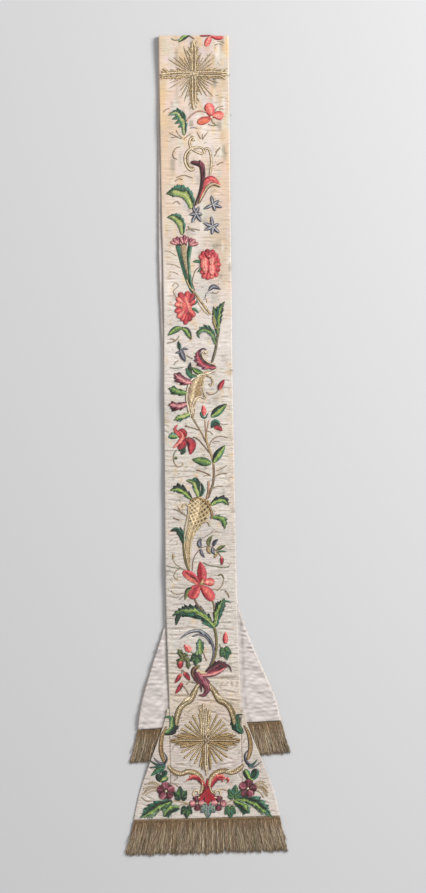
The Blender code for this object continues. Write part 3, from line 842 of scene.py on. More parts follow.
def blade(pad, path, wide, cut, silk, lift=0.0, teeth=0, flip=False, spacing=CELL, relief=None):
    """Adds a flat blade to a pad, which is a list of meshes.

    Path and width are in squares, and the path may carry a width of its own.
    """
    kind = CUTS[cut]
    line, length = smooth_line(path, spacing)
    u = np.linspace(0, 1, len(line))[:, None]
    v = np.linspace(-1, 1, kind.columns + 1)[None, :]
    ahead = np.gradient(line[:, :2], axis=0)
    ahead /= np.maximum(np.hypot(ahead[:, 0], ahead[:, 1]), 1e-9)[:, None]
    full = outline(kind.outline, u)
    half = full * (line[:, 2:3] if line.shape[1] > 2 else wide) / 2
    if kind.outline != "even":
        half = half * (1 + RAGGED * np.sin(u * length * 4.3 + line[0, 0]))
    if teeth:
        tooth = np.sqrt(np.abs(np.sin(np.pi * u * teeth))) if kind.lobed else (u * teeth * 1.0001) % 1.0
        half = half * (1 - kind.bite * (1 - tooth) * ease(u * teeth))
    reach = kind.slant * half * v * v * np.minimum(1, 4 * u) * np.minimum(1, 2.2 * (1 - u))
    x = line[:, :1] - ahead[:, 1:] * half * v + ahead[:, :1] * reach
    y = line[:, 1:2] + ahead[:, :1] * half * v + ahead[:, 1:] * reach
    side = -v if flip else v
    along = u * length + 0 * v
    crown = np.sqrt(np.clip(full / 0.35, 0, 1)) * np.minimum(1, half / 0.55)
    dome = np.clip(1 - np.abs(v) ** 2.4, 0, 1) ** 0.75 * crown
    rise = kind.rise * dome * (1 - kind.vein * np.exp(-(v / 0.16) ** 2))
    colours = shade(SILKS[silk], u + 0 * v, side + 0 * u, along + line[0, 0])
    if relief:
        rise, colours = relief(along, v * half, v + 0 * u, rise, colours)
    x, y = ruled(x, y)
    mark_cover(x, y)
    places = np.stack([x, y, lift - SINK + rise + SINK * dome], 2)
    threads = np.stack([along * SQUARE, v * half * SQUARE, 0 * along + line[0, 1]], 2)
    roll_up(pad, places, colours, threads)


def shape_of(mesh, material):
    """A smooth mesh object that rides on the root."""
    mesh.materials.append(material)
    mesh.polygons.foreach_set("use_smooth", np.ones(len(mesh.polygons), bool))
    shape = bpy.data.objects.new(mesh.name, mesh)
    bpy.context.scene.collection.objects.link(shape)
    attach(shape, "root")
    return shape


def shape_from(pad, name, material):
    """Joins the blades of a pad into one mesh object."""
    bm = bmesh.new()
    for mesh in pad:
        bm.from_mesh(mesh)
        bpy.data.meshes.remove(mesh)
    joined = bpy.data.meshes.new(name)
    bm.to_mesh(joined)
    bm.free()
    return shape_of(joined, material)


def triangles(shape):
    return sum(len(p.vertices) - 2 for p in shape.data.polygons)


def points_of(mesh):
    places = np.empty(len(mesh.vertices) * 3)
    mesh.vertices.foreach_get("co", places)
    return places.reshape(-1, 3)


def lay(shape):
    """Lays a flat piece on the embroidered face, round the neck fold too."""
    places = points_of(shape.data)
    down, across = find(FRONT, places[:, 0], places[:, 1])
    laid = face(down, across, places[:, 2])
    shape.data.vertices.foreach_set("co", laid.ravel())
    shape.data.update()
    print(shape.name, triangles(shape), "triangles")


print(len(CUTS), "cuts of blade")

# %% [markdown]
# Each finish is a material with a node group for its weave or its thread, so the effect is built once.
# The group puts out a colour and a height. The height feeds a Bump node in the material itself.
# Ground colours with their painted shading, and thread colours, come from attributes on the mesh, painted
# when a piece is made.

# %% Node helpers


def new_group(name, inputs, outputs):
    """A shader node group with named sockets, and its two end nodes."""
    tree = bpy.data.node_groups.new(name, "ShaderNodeTree")
    for label, kind in inputs:
        tree.interface.new_socket(name=label, in_out="INPUT", socket_type=kind)
    for label, kind in outputs:
        tree.interface.new_socket(name=label, in_out="OUTPUT", socket_type=kind)
    return tree, tree.nodes.new("NodeGroupInput"), tree.nodes.new("NodeGroupOutput")


def add_node(tree, kind, inputs=(), **settings):
    """A node with its settings, and its inputs given as pairs of socket and value or output."""
    node = tree.nodes.new(kind)
    for label, value in settings.items():
        setattr(node, label, value)
    for socket, value in inputs:
        if isinstance(value, bpy.types.NodeSocket):
            tree.links.new(value, node.inputs[socket])
        else:
            node.inputs[socket].default_value = value
    return node


def calc(tree, operation, *values):
    """The output of a Math node."""
    return add_node(tree, "ShaderNodeMath", list(enumerate(values)), operation=operation).outputs[0]


def noise(tree, place, scale, detail, stretch=None):
    """The value of a noise, whose places may be stretched first."""
    if stretch:
        place = add_node(tree, "ShaderNodeMapping", [(0, place), (3, stretch)]).outputs[0]
    sockets = [("Vector", place), ("Scale", scale), ("Detail", detail)]
    return add_node(tree, "ShaderNodeTexNoise", sockets).outputs[0]


def between(tree, share, low, high, start=0.0, end=1.0):
    """A value between low and high, as a share goes from start to end."""
    sockets = [(0, share), (1, start), (2, end), (3, low), (4, high)]
    return add_node(tree, "ShaderNodeMapRange", sockets).outputs[0]


def own_value(tree, number):
    """A value from 0 to 1 that each whole number has for its own."""
    return add_node(tree, "ShaderNodeTexWhiteNoise", [("W", number)], noise_dimensions="1D").outputs[0]


def tinted(tree, colour, share, low, high, start=0.0, end=1.0, strength=1.0):
    """Multiplies a colour by a grey between low and high, as a share goes from start to end."""
    level = between(tree, share, low, high, start, end)
    grey = add_node(tree, "ShaderNodeCombineColor", [(i, level) for i in range(3)])
    sockets = [(0, strength), (6, colour)]
    mix = add_node(tree, "ShaderNodeMix", sockets, data_type="RGBA", blend_type="MULTIPLY")
    tree.links.new(grey.outputs[0], mix.inputs[7])
    return mix.outputs[2]


RIB_SHARE = 0.35
SMOOTHEST = 0.35


def woven_silk():
    """Plain ribbed silk: level slubs, fine ribs and a faint cloudiness, on Object coordinates."""
    tree, given, out = new_group(
        "woven silk",
        [
            ("Colour", "NodeSocketColor"), ("Coordinates", "NodeSocketVector"),
            ("Slub", "NodeSocketFloat"), ("Wear", "NodeSocketFloat"),
        ],
        [("Colour", "NodeSocketColor"), ("Height", "NodeSocketFloat"), ("Roughness", "NodeSocketFloat")],
    )
    place = given.outputs["Coordinates"]
    wear = given.outputs["Wear"]
    slubs = noise(tree, place, 1.0, 3.0, (55, 620, 300))
    ribs = noise(tree, place, 1.0, 1.0, (300, 1700, 300))
    dashes = noise(tree, place, 1.0, 1.0, (120, 760, 300))
    cloud = noise(tree, place, 28.0, 3.0)
    specks = noise(tree, place, 430.0, 1.0)
    slubby = calc(tree, "MULTIPLY", slubs, given.outputs["Slub"])
    height = calc(tree, "MULTIPLY_ADD", ribs, RIB_SHARE, slubby)
    soft = between(tree, wear, SMOOTHEST, 1.0)
    sunk = calc(tree, "MULTIPLY", height, soft)
    shaded = tinted(tree, given.outputs["Colour"], slubs, 0.74, 1.25, strength=soft)
    dashed = tinted(tree, shaded, dashes, 0.70, 1.0, 0.30, 0.44, wear)
    specked = tinted(tree, dashed, specks, 0.76, 1.0, 0.29, 0.42, wear)
    clouded = tinted(tree, specked, cloud, 0.88, 1.12)
    tree.links.new(clouded, out.inputs["Colour"])
    tree.links.new(sunk, out.inputs["Height"])
    tree.links.new(between(tree, ribs, 0.42, 0.62), out.inputs["Roughness"])
    return tree


SKEIN = 0.34
SKEIN_STEP = 7.3


def laid_thread():
    """Threads laid side by side in fine stripes, each a little lighter or darker, with painted shade between
    them.
    """
    tree, given, out = new_group(
        "laid thread",
        [
            ("Colour", "NodeSocketColor"), ("Threads", "NodeSocketVector"),
            ("Pitch", "NodeSocketFloat"), ("Slant", "NodeSocketFloat"),
        ],
        [("Colour", "NodeSocketColor"), ("Height", "NodeSocketFloat")],
    )
    along, aside, own = add_node(tree, "ShaderNodeSeparateXYZ", [(0, given.outputs["Threads"])]).outputs
    across = calc(tree, "ABSOLUTE", aside)
    leaning = calc(tree, "MULTIPLY_ADD", across, given.outputs["Slant"], along)
    count = calc(tree, "DIVIDE", leaning, given.outputs["Pitch"])
    ridge = calc(tree, "ABSOLUTE", calc(tree, "SINE", calc(tree, "MULTIPLY", count, math.pi)))
    tone = own_value(tree, calc(tree, "FLOOR", count))
    skein = calc(tree, "FLOOR", calc(tree, "MULTIPLY", count, SKEIN))
    skein_tone = own_value(tree, calc(tree, "MULTIPLY_ADD", own, SKEIN_STEP, skein))
    threads = tinted(tree, given.outputs["Colour"], tone, 0.84, 1.13)
    skeins = tinted(tree, threads, skein_tone, 0.72, 1.24)
    # Painted shade: each thread is darker in the groove beside it and lighter on its crest.
    tree.links.new(tinted(tree, skeins, ridge, 0.78, 1.07), out.inputs["Colour"])
    tree.links.new(ridge, out.inputs["Height"])
    return tree


WOVEN_SILK = woven_silk()
LAID_THREAD = laid_thread()
print("node groups:", WOVEN_SILK.name, "and", LAID_THREAD.name)

# %% [markdown]
# There are five finishes: ivory silk, lining silk, silk stitches, gold thread and fringe thread.
# Cloth takes its weave from Object coordinates, threads take theirs from an attribute on the mesh.

# %% Finishes


def new_finish(name, effect, attribute, place, place_socket, settings, bump, values=()):
    """A material that runs an effect group on a painted attribute and bumps its surface."""
    finish = bpy.data.materials.new(name)
    finish.use_nodes = True
    tree = finish.node_tree
    shader = tree.nodes["Principled BSDF"]
    painted = add_node(tree, "ShaderNodeAttribute", attribute_name=attribute)
    group = add_node(tree, "ShaderNodeGroup", node_tree=effect)
    tree.links.new(painted.outputs["Color"], group.inputs["Colour"])
    tree.links.new(place(tree), group.inputs[place_socket])
    for socket, value in values:
        group.inputs[socket].default_value = value
    strength, distance = bump
    relief = add_node(tree, "ShaderNodeBump", [("Strength", strength), ("Distance", distance)])
    tree.links.new(group.outputs["Height"], relief.inputs["Height"])
    tree.links.new(group.outputs["Colour"], shader.inputs["Base Color"])
    tree.links.new(relief.outputs[0], shader.inputs["Normal"])
    if "Wear" in group.inputs:
        tree.links.new(painted.outputs["Alpha"], group.inputs["Wear"])
    if "Roughness" in group.outputs:
        tree.links.new(group.outputs["Roughness"], shader.inputs["Roughness"])
    for socket, value in settings:
        shader.inputs[socket].default_value = value
    return finish


def object_place(tree):
    return add_node(tree, "ShaderNodeTexCoord").outputs["Object"]


def thread_place(tree):
    return add_node(tree, "ShaderNodeAttribute", attribute_name="thread").outputs["Vector"]


GROUND = new_finish(
    "ivory silk", WOVEN_SILK, "dye_and_painted_shading", object_place, "Coordinates",
    [("Sheen Weight", 0.25), ("Sheen Roughness", 0.35), ("Specular IOR Level", 0.45)],
    bump=(0.9, 0.0010), values=[("Slub", 1.0)],
)
LINING = new_finish(
    "lining silk", WOVEN_SILK, "dye_and_painted_shading", object_place, "Coordinates",
    [("Sheen Weight", 0.30), ("Sheen Roughness", 0.30), ("Specular IOR Level", 0.5)],
    bump=(0.8, 0.0007), values=[("Slub", 0.8)],
)
STITCHES = new_finish(
    "silk stitches", LAID_THREAD, "silk", thread_place, "Threads",
    [("Roughness", 0.48), ("Sheen Weight", 0.20), ("Specular IOR Level", 0.45)],
    bump=(0.6, 0.00012), values=[("Pitch", 0.0004), ("Slant", 0.6)],
)
GOLD = new_finish(
    "gold thread", LAID_THREAD, "silk", thread_place, "Threads",
    [("Roughness", 0.38), ("Metallic", 0.20), ("Specular IOR Level", 0.7)],
    bump=(0.7, 0.00018), values=[("Pitch", 0.0005), ("Slant", 0.9)],
)
FRINGE = new_finish(
    "fringe thread", LAID_THREAD, "silk", thread_place, "Threads",
    [("Roughness", 0.50), ("Metallic", 0.10), ("Specular IOR Level", 0.5)],
    bump=(0.7, 0.00022), values=[("Pitch", 0.0011), ("Slant", 1.6)],
)
print("finishes:", [m.name for m in bpy.data.materials])

# %% [markdown]
# The embroidery is worked in five stretches from the neck to the hem.
# Each motif is one row: its cut, its silks, its width, and a line of two to six spots from root to tip,
# all in squares of the ruled pattern. Later rows lie a hair higher, so they overlap as stitches do.

# %% Motif rows


class Motif(NamedTuple):
    """One stitched blade. Its width and its path from root to tip are in squares."""

    cut: str
    silk: str
    wide: float
    path: tuple
    teeth: int = 0
    flip: bool = False


def sewn(cut, silk, wide, *numbers, teeth=0, flip=False):
    """A blade whose path is a row of numbers, each place across and then down."""
    return Motif(cut, silk, wide, tuple(zip(numbers[::2], numbers[1::2])), teeth, flip)


def alike(cut, silk, *rows):
    """Blades of the same cut and silk, from rows that begin with the width."""
    return [sewn(cut, silk, *row) for row in rows]


NECK_MOTIFS = (
    sewn("leaf", "dark leaf", 5.6, 190.5, 34.5, 185, 37, 178.5, 43),
    sewn("stem", "sage twig", 1.3, 186, 36.5, 180, 40, 175, 41, 171, 39),
    sewn("stem", "rope", 1.5, 187, 35, 191, 37.5, 194.5, 40),
    sewn("petal", "crimson", 3.2, 212, 35.5, 206, 35.8, 199.5, 36.4),
    sewn("petal", "rose", 4.8, 210, 36, 217, 38.5, 223.5, 37.8),
    sewn("petal", "coral", 6.2, 211.5, 35.5, 209, 40, 205.5, 47),
    *alike(
        "stem", "sage twig", (0.8, 214, 46, 219, 44.5, 223, 46), (0.8, 217, 42, 221, 42.5, 225, 44),
    ),
    *alike(
        "stem", "twig", (0.9, 169, 133, 175, 136, 182, 139.5), (0.9, 176, 130.5, 179, 135, 183, 139),
        (0.9, 191, 134, 187, 137, 183.5, 140), (0.9, 171, 138, 177, 137.5, 182, 139.5),
        (0.9, 163, 113, 166, 110, 170, 108.5),
    ),
    sewn("stem", "smoke", 1.1, 190, 128.6, 194, 127.8, 197.5, 128.8),
    *alike(
        "stem", "twig", (1, 197, 132.5, 199, 136, 201, 139.5), (1, 207.5, 133, 205, 136, 202.5, 140),
        (0.8, 202.5, 134, 202.4, 137, 202, 140), (1.5, 215.5, 153, 218, 150.5, 220.5, 147.5),
        (0.8, 214.5, 157, 217, 152.5), (1.1, 217, 165.5, 220, 163.5, 224, 162.5),
    ),
    *alike(
        "stem", "spray", (1, 215, 111.5, 218, 107.5, 224, 106.5), (0.8, 219, 110, 221.5, 109, 224, 110),
    ),
    sewn("stem", "sage twig", 1, 208, 124.5, 213, 126, 219, 125),
    sewn("stem", "peach cord", 1.7, 208.5, 113, 203, 111.8, 197, 112, 191, 116, 187, 122, 184.5, 133),
    *alike(
        "leaf", "bottle leaf", (4.6, 183, 120, 180.5, 113.5, 176.8, 108),
        (3.8, 184.3, 122, 184.3, 116.5, 182.6, 111.8),
    ),
    *alike(
        "leaf", "teal leaf", (3.6, 181, 117.5, 176.5, 118.3, 172, 119.8),
        (3.6, 182.5, 121.5, 178.5, 122.3, 175, 124.3), (3.2, 183.5, 126, 180.5, 126.5, 178.3, 128),
    ),
    sewn(
        "scallop", "soft acanthus", 8.8, 184.3, 136, 184, 126, 181, 117.5, 176, 113.3, 167.8, 115.8,
        teeth=6,
    ),
    sewn("petal", "coral", 10, 212, 118, 210, 110.5, 207.6, 103.4),
    sewn("petal", "ember", 7.8, 212, 117.8, 204.5, 120.8, 197.4, 123.2),
    sewn("petal", "coral", 7.6, 211, 117.5, 217.5, 115.2, 224, 116.2),
    sewn("petal", "pale rose", 4.4, 214, 117, 218.5, 118, 222.5, 118.5),
    sewn("bud", "knot", 2.8, 209.8, 118.2, 213.2, 116.8),
    sewn("stem", "sage twig", 1, 212, 119, 212.5, 122, 216, 125.5),
    *alike(
        "stem", "twig", (0.9, 181, 147, 176.5, 148.3, 173.3, 152.8, 173.8, 157.8, 177.5, 159.8),
        (0.8, 176, 178, 184, 175.5, 193, 178.5), (0.8, 175, 182, 179, 179, 183, 180),
    ),
    sewn("leaf", "rose", 3, 199.5, 199, 203.4, 190.5, 205.4, 182),
    sewn(
        "claw", "plum scroll", 6.2, 200.5, 161.5, 202.6, 170, 202.8, 180, 200.8, 191, 197, 201, 193.3,
        209,
    ),
    sewn("petal", "dark wine", 5, 203, 170, 199, 164.5, 190.5, 162.5),
    sewn("bud", "dark wine", 4.6, 199.5, 167.5, 200, 160.2),
    sewn("leaf", "heather", 2.6, 199, 165.5, 196, 163.2, 192, 163.6),
    sewn("stem", "rope", 1.3, 196, 206, 199.5, 197, 205, 188, 210.5, 184, 220, 186),
    sewn("pointed", "petal red", 7.2, 203, 190, 206.2, 182.8, 211.8, 179.6, 220.2, 185.4),
    sewn(
        "stem", "rope", 2.6, 220.6, 187.6, 217.4, 185.6, 212.6, 185.2, 207.8, 188.2, 203, 196, 198.4,
        204,
    ),
    sewn(
        "cord", "cream cord", 1.5, 220.4, 186.8, 217, 184.6, 212.4, 184.2, 207.4, 187.2, 203, 194.5,
        199.4, 202,
    ),
    sewn(
        "scallop", "acanthus", 14, 191.5, 209.5, 190.2, 201.8, 185.5, 195.4, 177.5, 192.4, 166.2, 193.8,
        teeth=10,
    ),
    sewn("claw", "lime streak", 4.4, 190.8, 207.5, 188.8, 200.8, 184.5, 195.8, 178.5, 193.4),
    sewn(
        "scallop", "acanthus", 9.8, 182.6, 235.5, 181.8, 227.5, 178.8, 221, 174.2, 217.6, 167, 217.6,
        teeth=7,
    ),
    sewn("claw", "lime streak", 2, 182.3, 234, 181, 227, 178, 221.5, 174.5, 219),
    *alike(
        "stem", "twig", (0.9, 186, 230.5, 192, 229, 200.5, 230.5), (0.8, 188, 226, 190, 229, 195, 232),
        (0.7, 173, 204, 177, 201.5, 181, 205),
    ),
)
SCROLL_MOTIFS = (
    *alike(
        "cord", "pale gilt",
        (2, 194.8, 138, 192, 138, 190, 140.5, 189.5, 144, 191, 148, 195, 151.5, 203.5, 155),
        (2.3, 197.5, 147.5, 191, 149, 186.5, 153, 184.8, 159, 186.5, 166, 190.5, 170.5, 195.5, 168.3),
        (1.5, 195.5, 149, 199.5, 147.8, 203, 149.5, 203.6, 153),
        (1.7, 204.2, 154.5, 205.4, 149.6, 208, 149, 210.4, 154, 211.2, 164, 209.8, 177),
    ),
    sewn("cord", "cream cord", 1.3, 190.5, 151.8, 187.8, 156, 187.8, 162, 190, 166.8, 194, 167),
    sewn("bud", "pale gilt", 3, 194, 138.8, 192.3, 141.6),
)
OUTLINE_WIDER = 0.9
OUTLINES = tuple(
    row._replace(cut="stem", silk="gold edge", wide=row.wide + OUTLINE_WIDER) for row in SCROLL_MOTIFS
)
UPPER_MOTIFS = (
    *alike(
        "stem", "twig", (0.9, 164, 251, 170, 252, 177, 256.5), (0.9, 166, 264, 174, 265, 181, 268.5),
        (0.9, 169, 272, 174, 272.5, 179, 275),
        (0.9, 172, 287, 175.5, 283, 178.5, 286, 175.5, 289, 173.5, 292, 176.5, 298),
    ),
    sewn("stem", "rope", 1.1, 200, 267, 196, 270, 193.5, 276, 192.5, 283, 195, 291),
    sewn("claw", "cone", 6.6, 183.6, 243, 184, 253, 186, 266, 188.5, 281),
    Motif(
        "stem", "thistle left", 1,
        ((191.6, 293, 2), (186.2, 278, 3.8), (181.6, 261, 4.8), (177.2, 244, 5)),
    ),
    Motif(
        "stem", "thistle right", 1,
        ((193.5, 296, 2), (189.6, 278, 4.4), (188.2, 261, 4.6), (190.4, 244, 5)),
    ),
    *alike(
        "petal", "heather", (4.2, 180, 245, 175, 243.5, 170, 242), (4, 180, 245, 176, 241, 172.8, 238.4),
    ),
    sewn("petal", "wine", 3.8, 180, 245, 178, 240.5, 177, 236.4),
    sewn("petal", "heather", 4, 183.8, 245, 181.8, 240.5, 180.2, 236.8),
    sewn("petal", "wine", 4, 184.3, 245, 184.4, 240, 184.3, 234.8),
    sewn("petal", "heather", 3.8, 184.5, 245, 186.6, 240.5, 188.2, 236.4),
    sewn("petal", "wine", 4, 189, 246, 190.2, 242, 191.6, 237.8),
    *alike(
        "petal", "heather", (4.2, 189.2, 246, 192.8, 242, 195.6, 239.4),
        (4.2, 189.2, 246.2, 194, 244.6, 198.8, 243.6),
    ),
    *alike(
        "petal", "dark wine", (2.8, 182, 246, 179, 244.5, 176, 245.6),
        (2.8, 187, 246, 184.6, 243.5, 182.3, 245.4),
    ),
    sewn("stem", "gilt rope", 2.3, 186.5, 279, 189, 286, 193, 291, 198, 297.5, 204, 306, 211, 315),
    sewn("stem", "spray", 1, 196, 297, 199.5, 305, 204, 311, 209.5, 316),
    sewn("stem", "twig", 0.8, 203, 300, 206, 299, 207, 303),
    *alike(
        "leaf", "teal leaf", (3.4, 202, 262.5, 197, 261.5, 192.5, 262),
        (2.4, 201.5, 268, 199.5, 270.5, 197.5, 272.5),
    ),
    sewn("petal", "cherry", 15, 209.5, 278, 209.5, 265, 209, 252),
    sewn("petal", "rose", 6.6, 208, 262, 203, 258, 198.8, 255.8),
    sewn("petal", "cherry", 6.4, 208.5, 262, 204.6, 256, 202.4, 251),
    sewn("petal", "crimson", 6.6, 209, 262, 207.8, 255, 207.4, 249),
    sewn("petal", "cherry", 6.6, 210, 262, 212, 255, 213, 249.4),
    sewn("petal", "rose", 6.2, 211, 262, 214.8, 257.5, 217.4, 253.6),
    sewn("petal", "cherry", 5.8, 211.5, 263, 216.2, 261, 219.8, 259.4),
    sewn("petal", "rose", 5.6, 212, 265.5, 217, 265, 221.2, 264.6),
    sewn("petal", "cherry", 5.8, 212, 267, 216.8, 269.4, 220.2, 271),
    sewn("petal", "rose", 5.8, 211.5, 269, 215.2, 273.2, 217.4, 277.2),
    sewn("petal", "coral", 5.8, 210.5, 270, 211.8, 275.4, 212.2, 279.4),
    *alike(
        "petal", "rose", (6, 209, 270, 208.2, 275.6, 207.4, 280.4),
        (5.8, 207.5, 270, 204.8, 275, 202.8, 278.8), (5.4, 206.5, 268, 203, 271, 200.8, 274),
    ),
    sewn("leaf", "core", 2.2, 215.6, 258, 216.2, 265, 214.6, 273),
    sewn("leaf", "dusk", 4.6, 208.5, 291, 213.5, 286.8, 221, 289.8),
    sewn("stem", "smoke", 0.9, 209, 291, 206.5, 294, 205, 298),
    sewn("stem", "twig", 0.8, 212, 292, 216, 293.5, 219, 291.5),
    *alike(
        "leaf", "teal leaf", (2.6, 191.5, 304.5, 195, 303.5, 198, 300),
        (2.6, 191, 309, 195, 309.5, 199, 313.5),
    ),
    *alike(
        "petal", "rose", (13, 185.5, 321, 185.2, 309, 185.5, 296),
        (5.6, 189, 306, 192.4, 303.2, 195.4, 300.6),
    ),
    sewn("petal", "cherry", 6.6, 184.5, 303, 181.6, 297, 179.8, 292.2),
    sewn("petal", "rose", 7, 187, 303, 187.8, 297, 187.4, 291),
    sewn("petal", "crimson", 7, 188, 304, 191.4, 299, 193, 293.4),
    sewn("petal", "coral", 6, 184.5, 304, 179.8, 300.4, 176.4, 297.6),
    sewn("petal", "pale rose", 6, 184, 306, 178.8, 305, 174.8, 304.4),
    sewn("petal", "rose", 6, 184, 309, 178.8, 310.4, 174.8, 311.6),
    sewn("petal", "coral", 6.2, 185, 311, 180.6, 315, 177.4, 318),
    sewn("petal", "rose", 6.2, 186, 312, 183.4, 317, 181.6, 321.4),
    sewn("petal", "cherry", 5.6, 187, 313, 186.2, 319, 185.2, 325),
    sewn("petal", "crimson", 6.2, 188, 312, 189.4, 317, 189.2, 321.8),
    sewn("petal", "rose", 6.2, 188.5, 310, 192, 313.4, 194.4, 317.4),
    sewn("leaf", "core", 3.4, 181.4, 299.5, 181.2, 306.5, 184.8, 314),
    sewn("petal", "coral", 6.2, 184, 294.8, 187.4, 303, 190.8, 313.4),
    sewn("leaf", "core", 2.2, 186.2, 318, 188, 315, 190.8, 314.6),
    sewn("toothed", "husk", 5.4, 217.5, 331, 215, 322.5, 213.5, 314.5, teeth=4),
    sewn("spiny", "spine leaf", 6, 217, 330, 215.4, 319, 213.6, 306, teeth=5),
    sewn(
        "spiny", "spine leaf", 10.2, 217.4, 335, 217.6, 323, 218.8, 313, 221.2, 306.5, 225, 301.5,
        teeth=7, flip=True,
    ),
    sewn(
        "spiny", "frost leaf", 8.4, 216, 345, 213.5, 336.5, 208.5, 331, 202.5, 330.2, 198, 334, 200,
        338.5, teeth=6,
    ),
    *alike(
        "leaf", "bottle leaf", (2.8, 208.5, 330.5, 206.5, 327, 203.5, 324.5),
        (2.8, 213.5, 335, 211, 330, 208.5, 325),
    ),
    sewn("stem", "dark vine", 2.5, 217.8, 325, 218.5, 332, 217, 340, 216, 348, 214, 356, 211.8, 363),
    sewn("leaf", "meadow leaf", 6.4, 182, 328, 175.5, 329.8, 168, 335.5, flip=True),
    sewn("leaf", "dark leaf", 6.2, 182, 328.3, 187, 331, 191.5, 340),
    sewn("stem", "sage twig", 1.1, 179.5, 328, 182, 327.2, 185, 328.5),
    *alike(
        "stem", "twig", (1, 179.5, 336, 176.5, 340, 172, 342.3, 167, 343.2),
        (0.9, 170, 338.8, 173.5, 339.3, 176.5, 341.5),
    ),
    sewn("leaf", "bottle leaf", 4, 180, 350, 179.3, 345.5, 178.3, 341),
    *alike(
        "leaf", "dusk", (2.6, 180.8, 351, 184.5, 348.8, 188.5, 349.8),
        (2.4, 181, 353, 178.5, 352.3, 175.5, 353.3), (5.8, 180.3, 349, 182.3, 355, 185.6, 362),
    ),
    *alike(
        "stem", "twig", (0.8, 186.5, 355, 190, 357.5, 193.5, 359), (0.8, 179, 360, 176.5, 362, 174, 365),
    ),
    sewn("stem", "sage twig", 0.8, 170, 367.5, 176, 368.3, 184, 367.2),
    sewn(
        "spiny", "crimson scroll", 10.6, 216.5, 367.5, 208, 366.4, 201.4, 362, 198.2, 355.5, 199.4,
        349.5, teeth=7, flip=True,
    ),
    sewn("claw", "dark wine", 3, 198.5, 356, 200.5, 350.3, 204, 348.7, 207, 350.3),
    sewn(
        "stem", "cream cord", 1.5, 216, 364.8, 209, 362.8, 204, 359, 202.2, 354.5, 204.5, 351.8, 206.5,
        354,
    ),
    sewn("leaf", "meadow leaf", 5.4, 203, 373.5, 197.5, 371.5, 191.5, 367.3),
    sewn("toothed", "teal leaf", 6, 197.5, 376.5, 191, 375.3, 186, 367.8, teeth=3),
    sewn("leaf", "night leaf", 4, 191.5, 375, 189.8, 369, 190.6, 362),
    sewn("stem", "cream cord", 0.8, 191, 373, 190.3, 369, 190.6, 365),
    sewn("spiny", "wine leaf", 11.5, 192.5, 383, 184, 380.5, 174, 373.5, teeth=4),
    sewn("spiny", "meadow leaf", 9.4, 187.5, 393.5, 179, 392, 168.5, 388, teeth=4, flip=True),
    sewn("spiny", "wine leaf", 11, 187.8, 403.5, 179, 406, 168.5, 404.5, teeth=4),
    sewn("spiny", "lime leaf", 8.2, 191, 414, 183, 417, 174, 419.8, teeth=4, flip=True),
    sewn("stem", "twig", 0.9, 206, 391.5, 210, 394.5, 215, 393.5, 219.5, 389.5),
    sewn("bud", "crimson bud", 5, 218.8, 390, 221, 385, 224.5, 379.5),
)
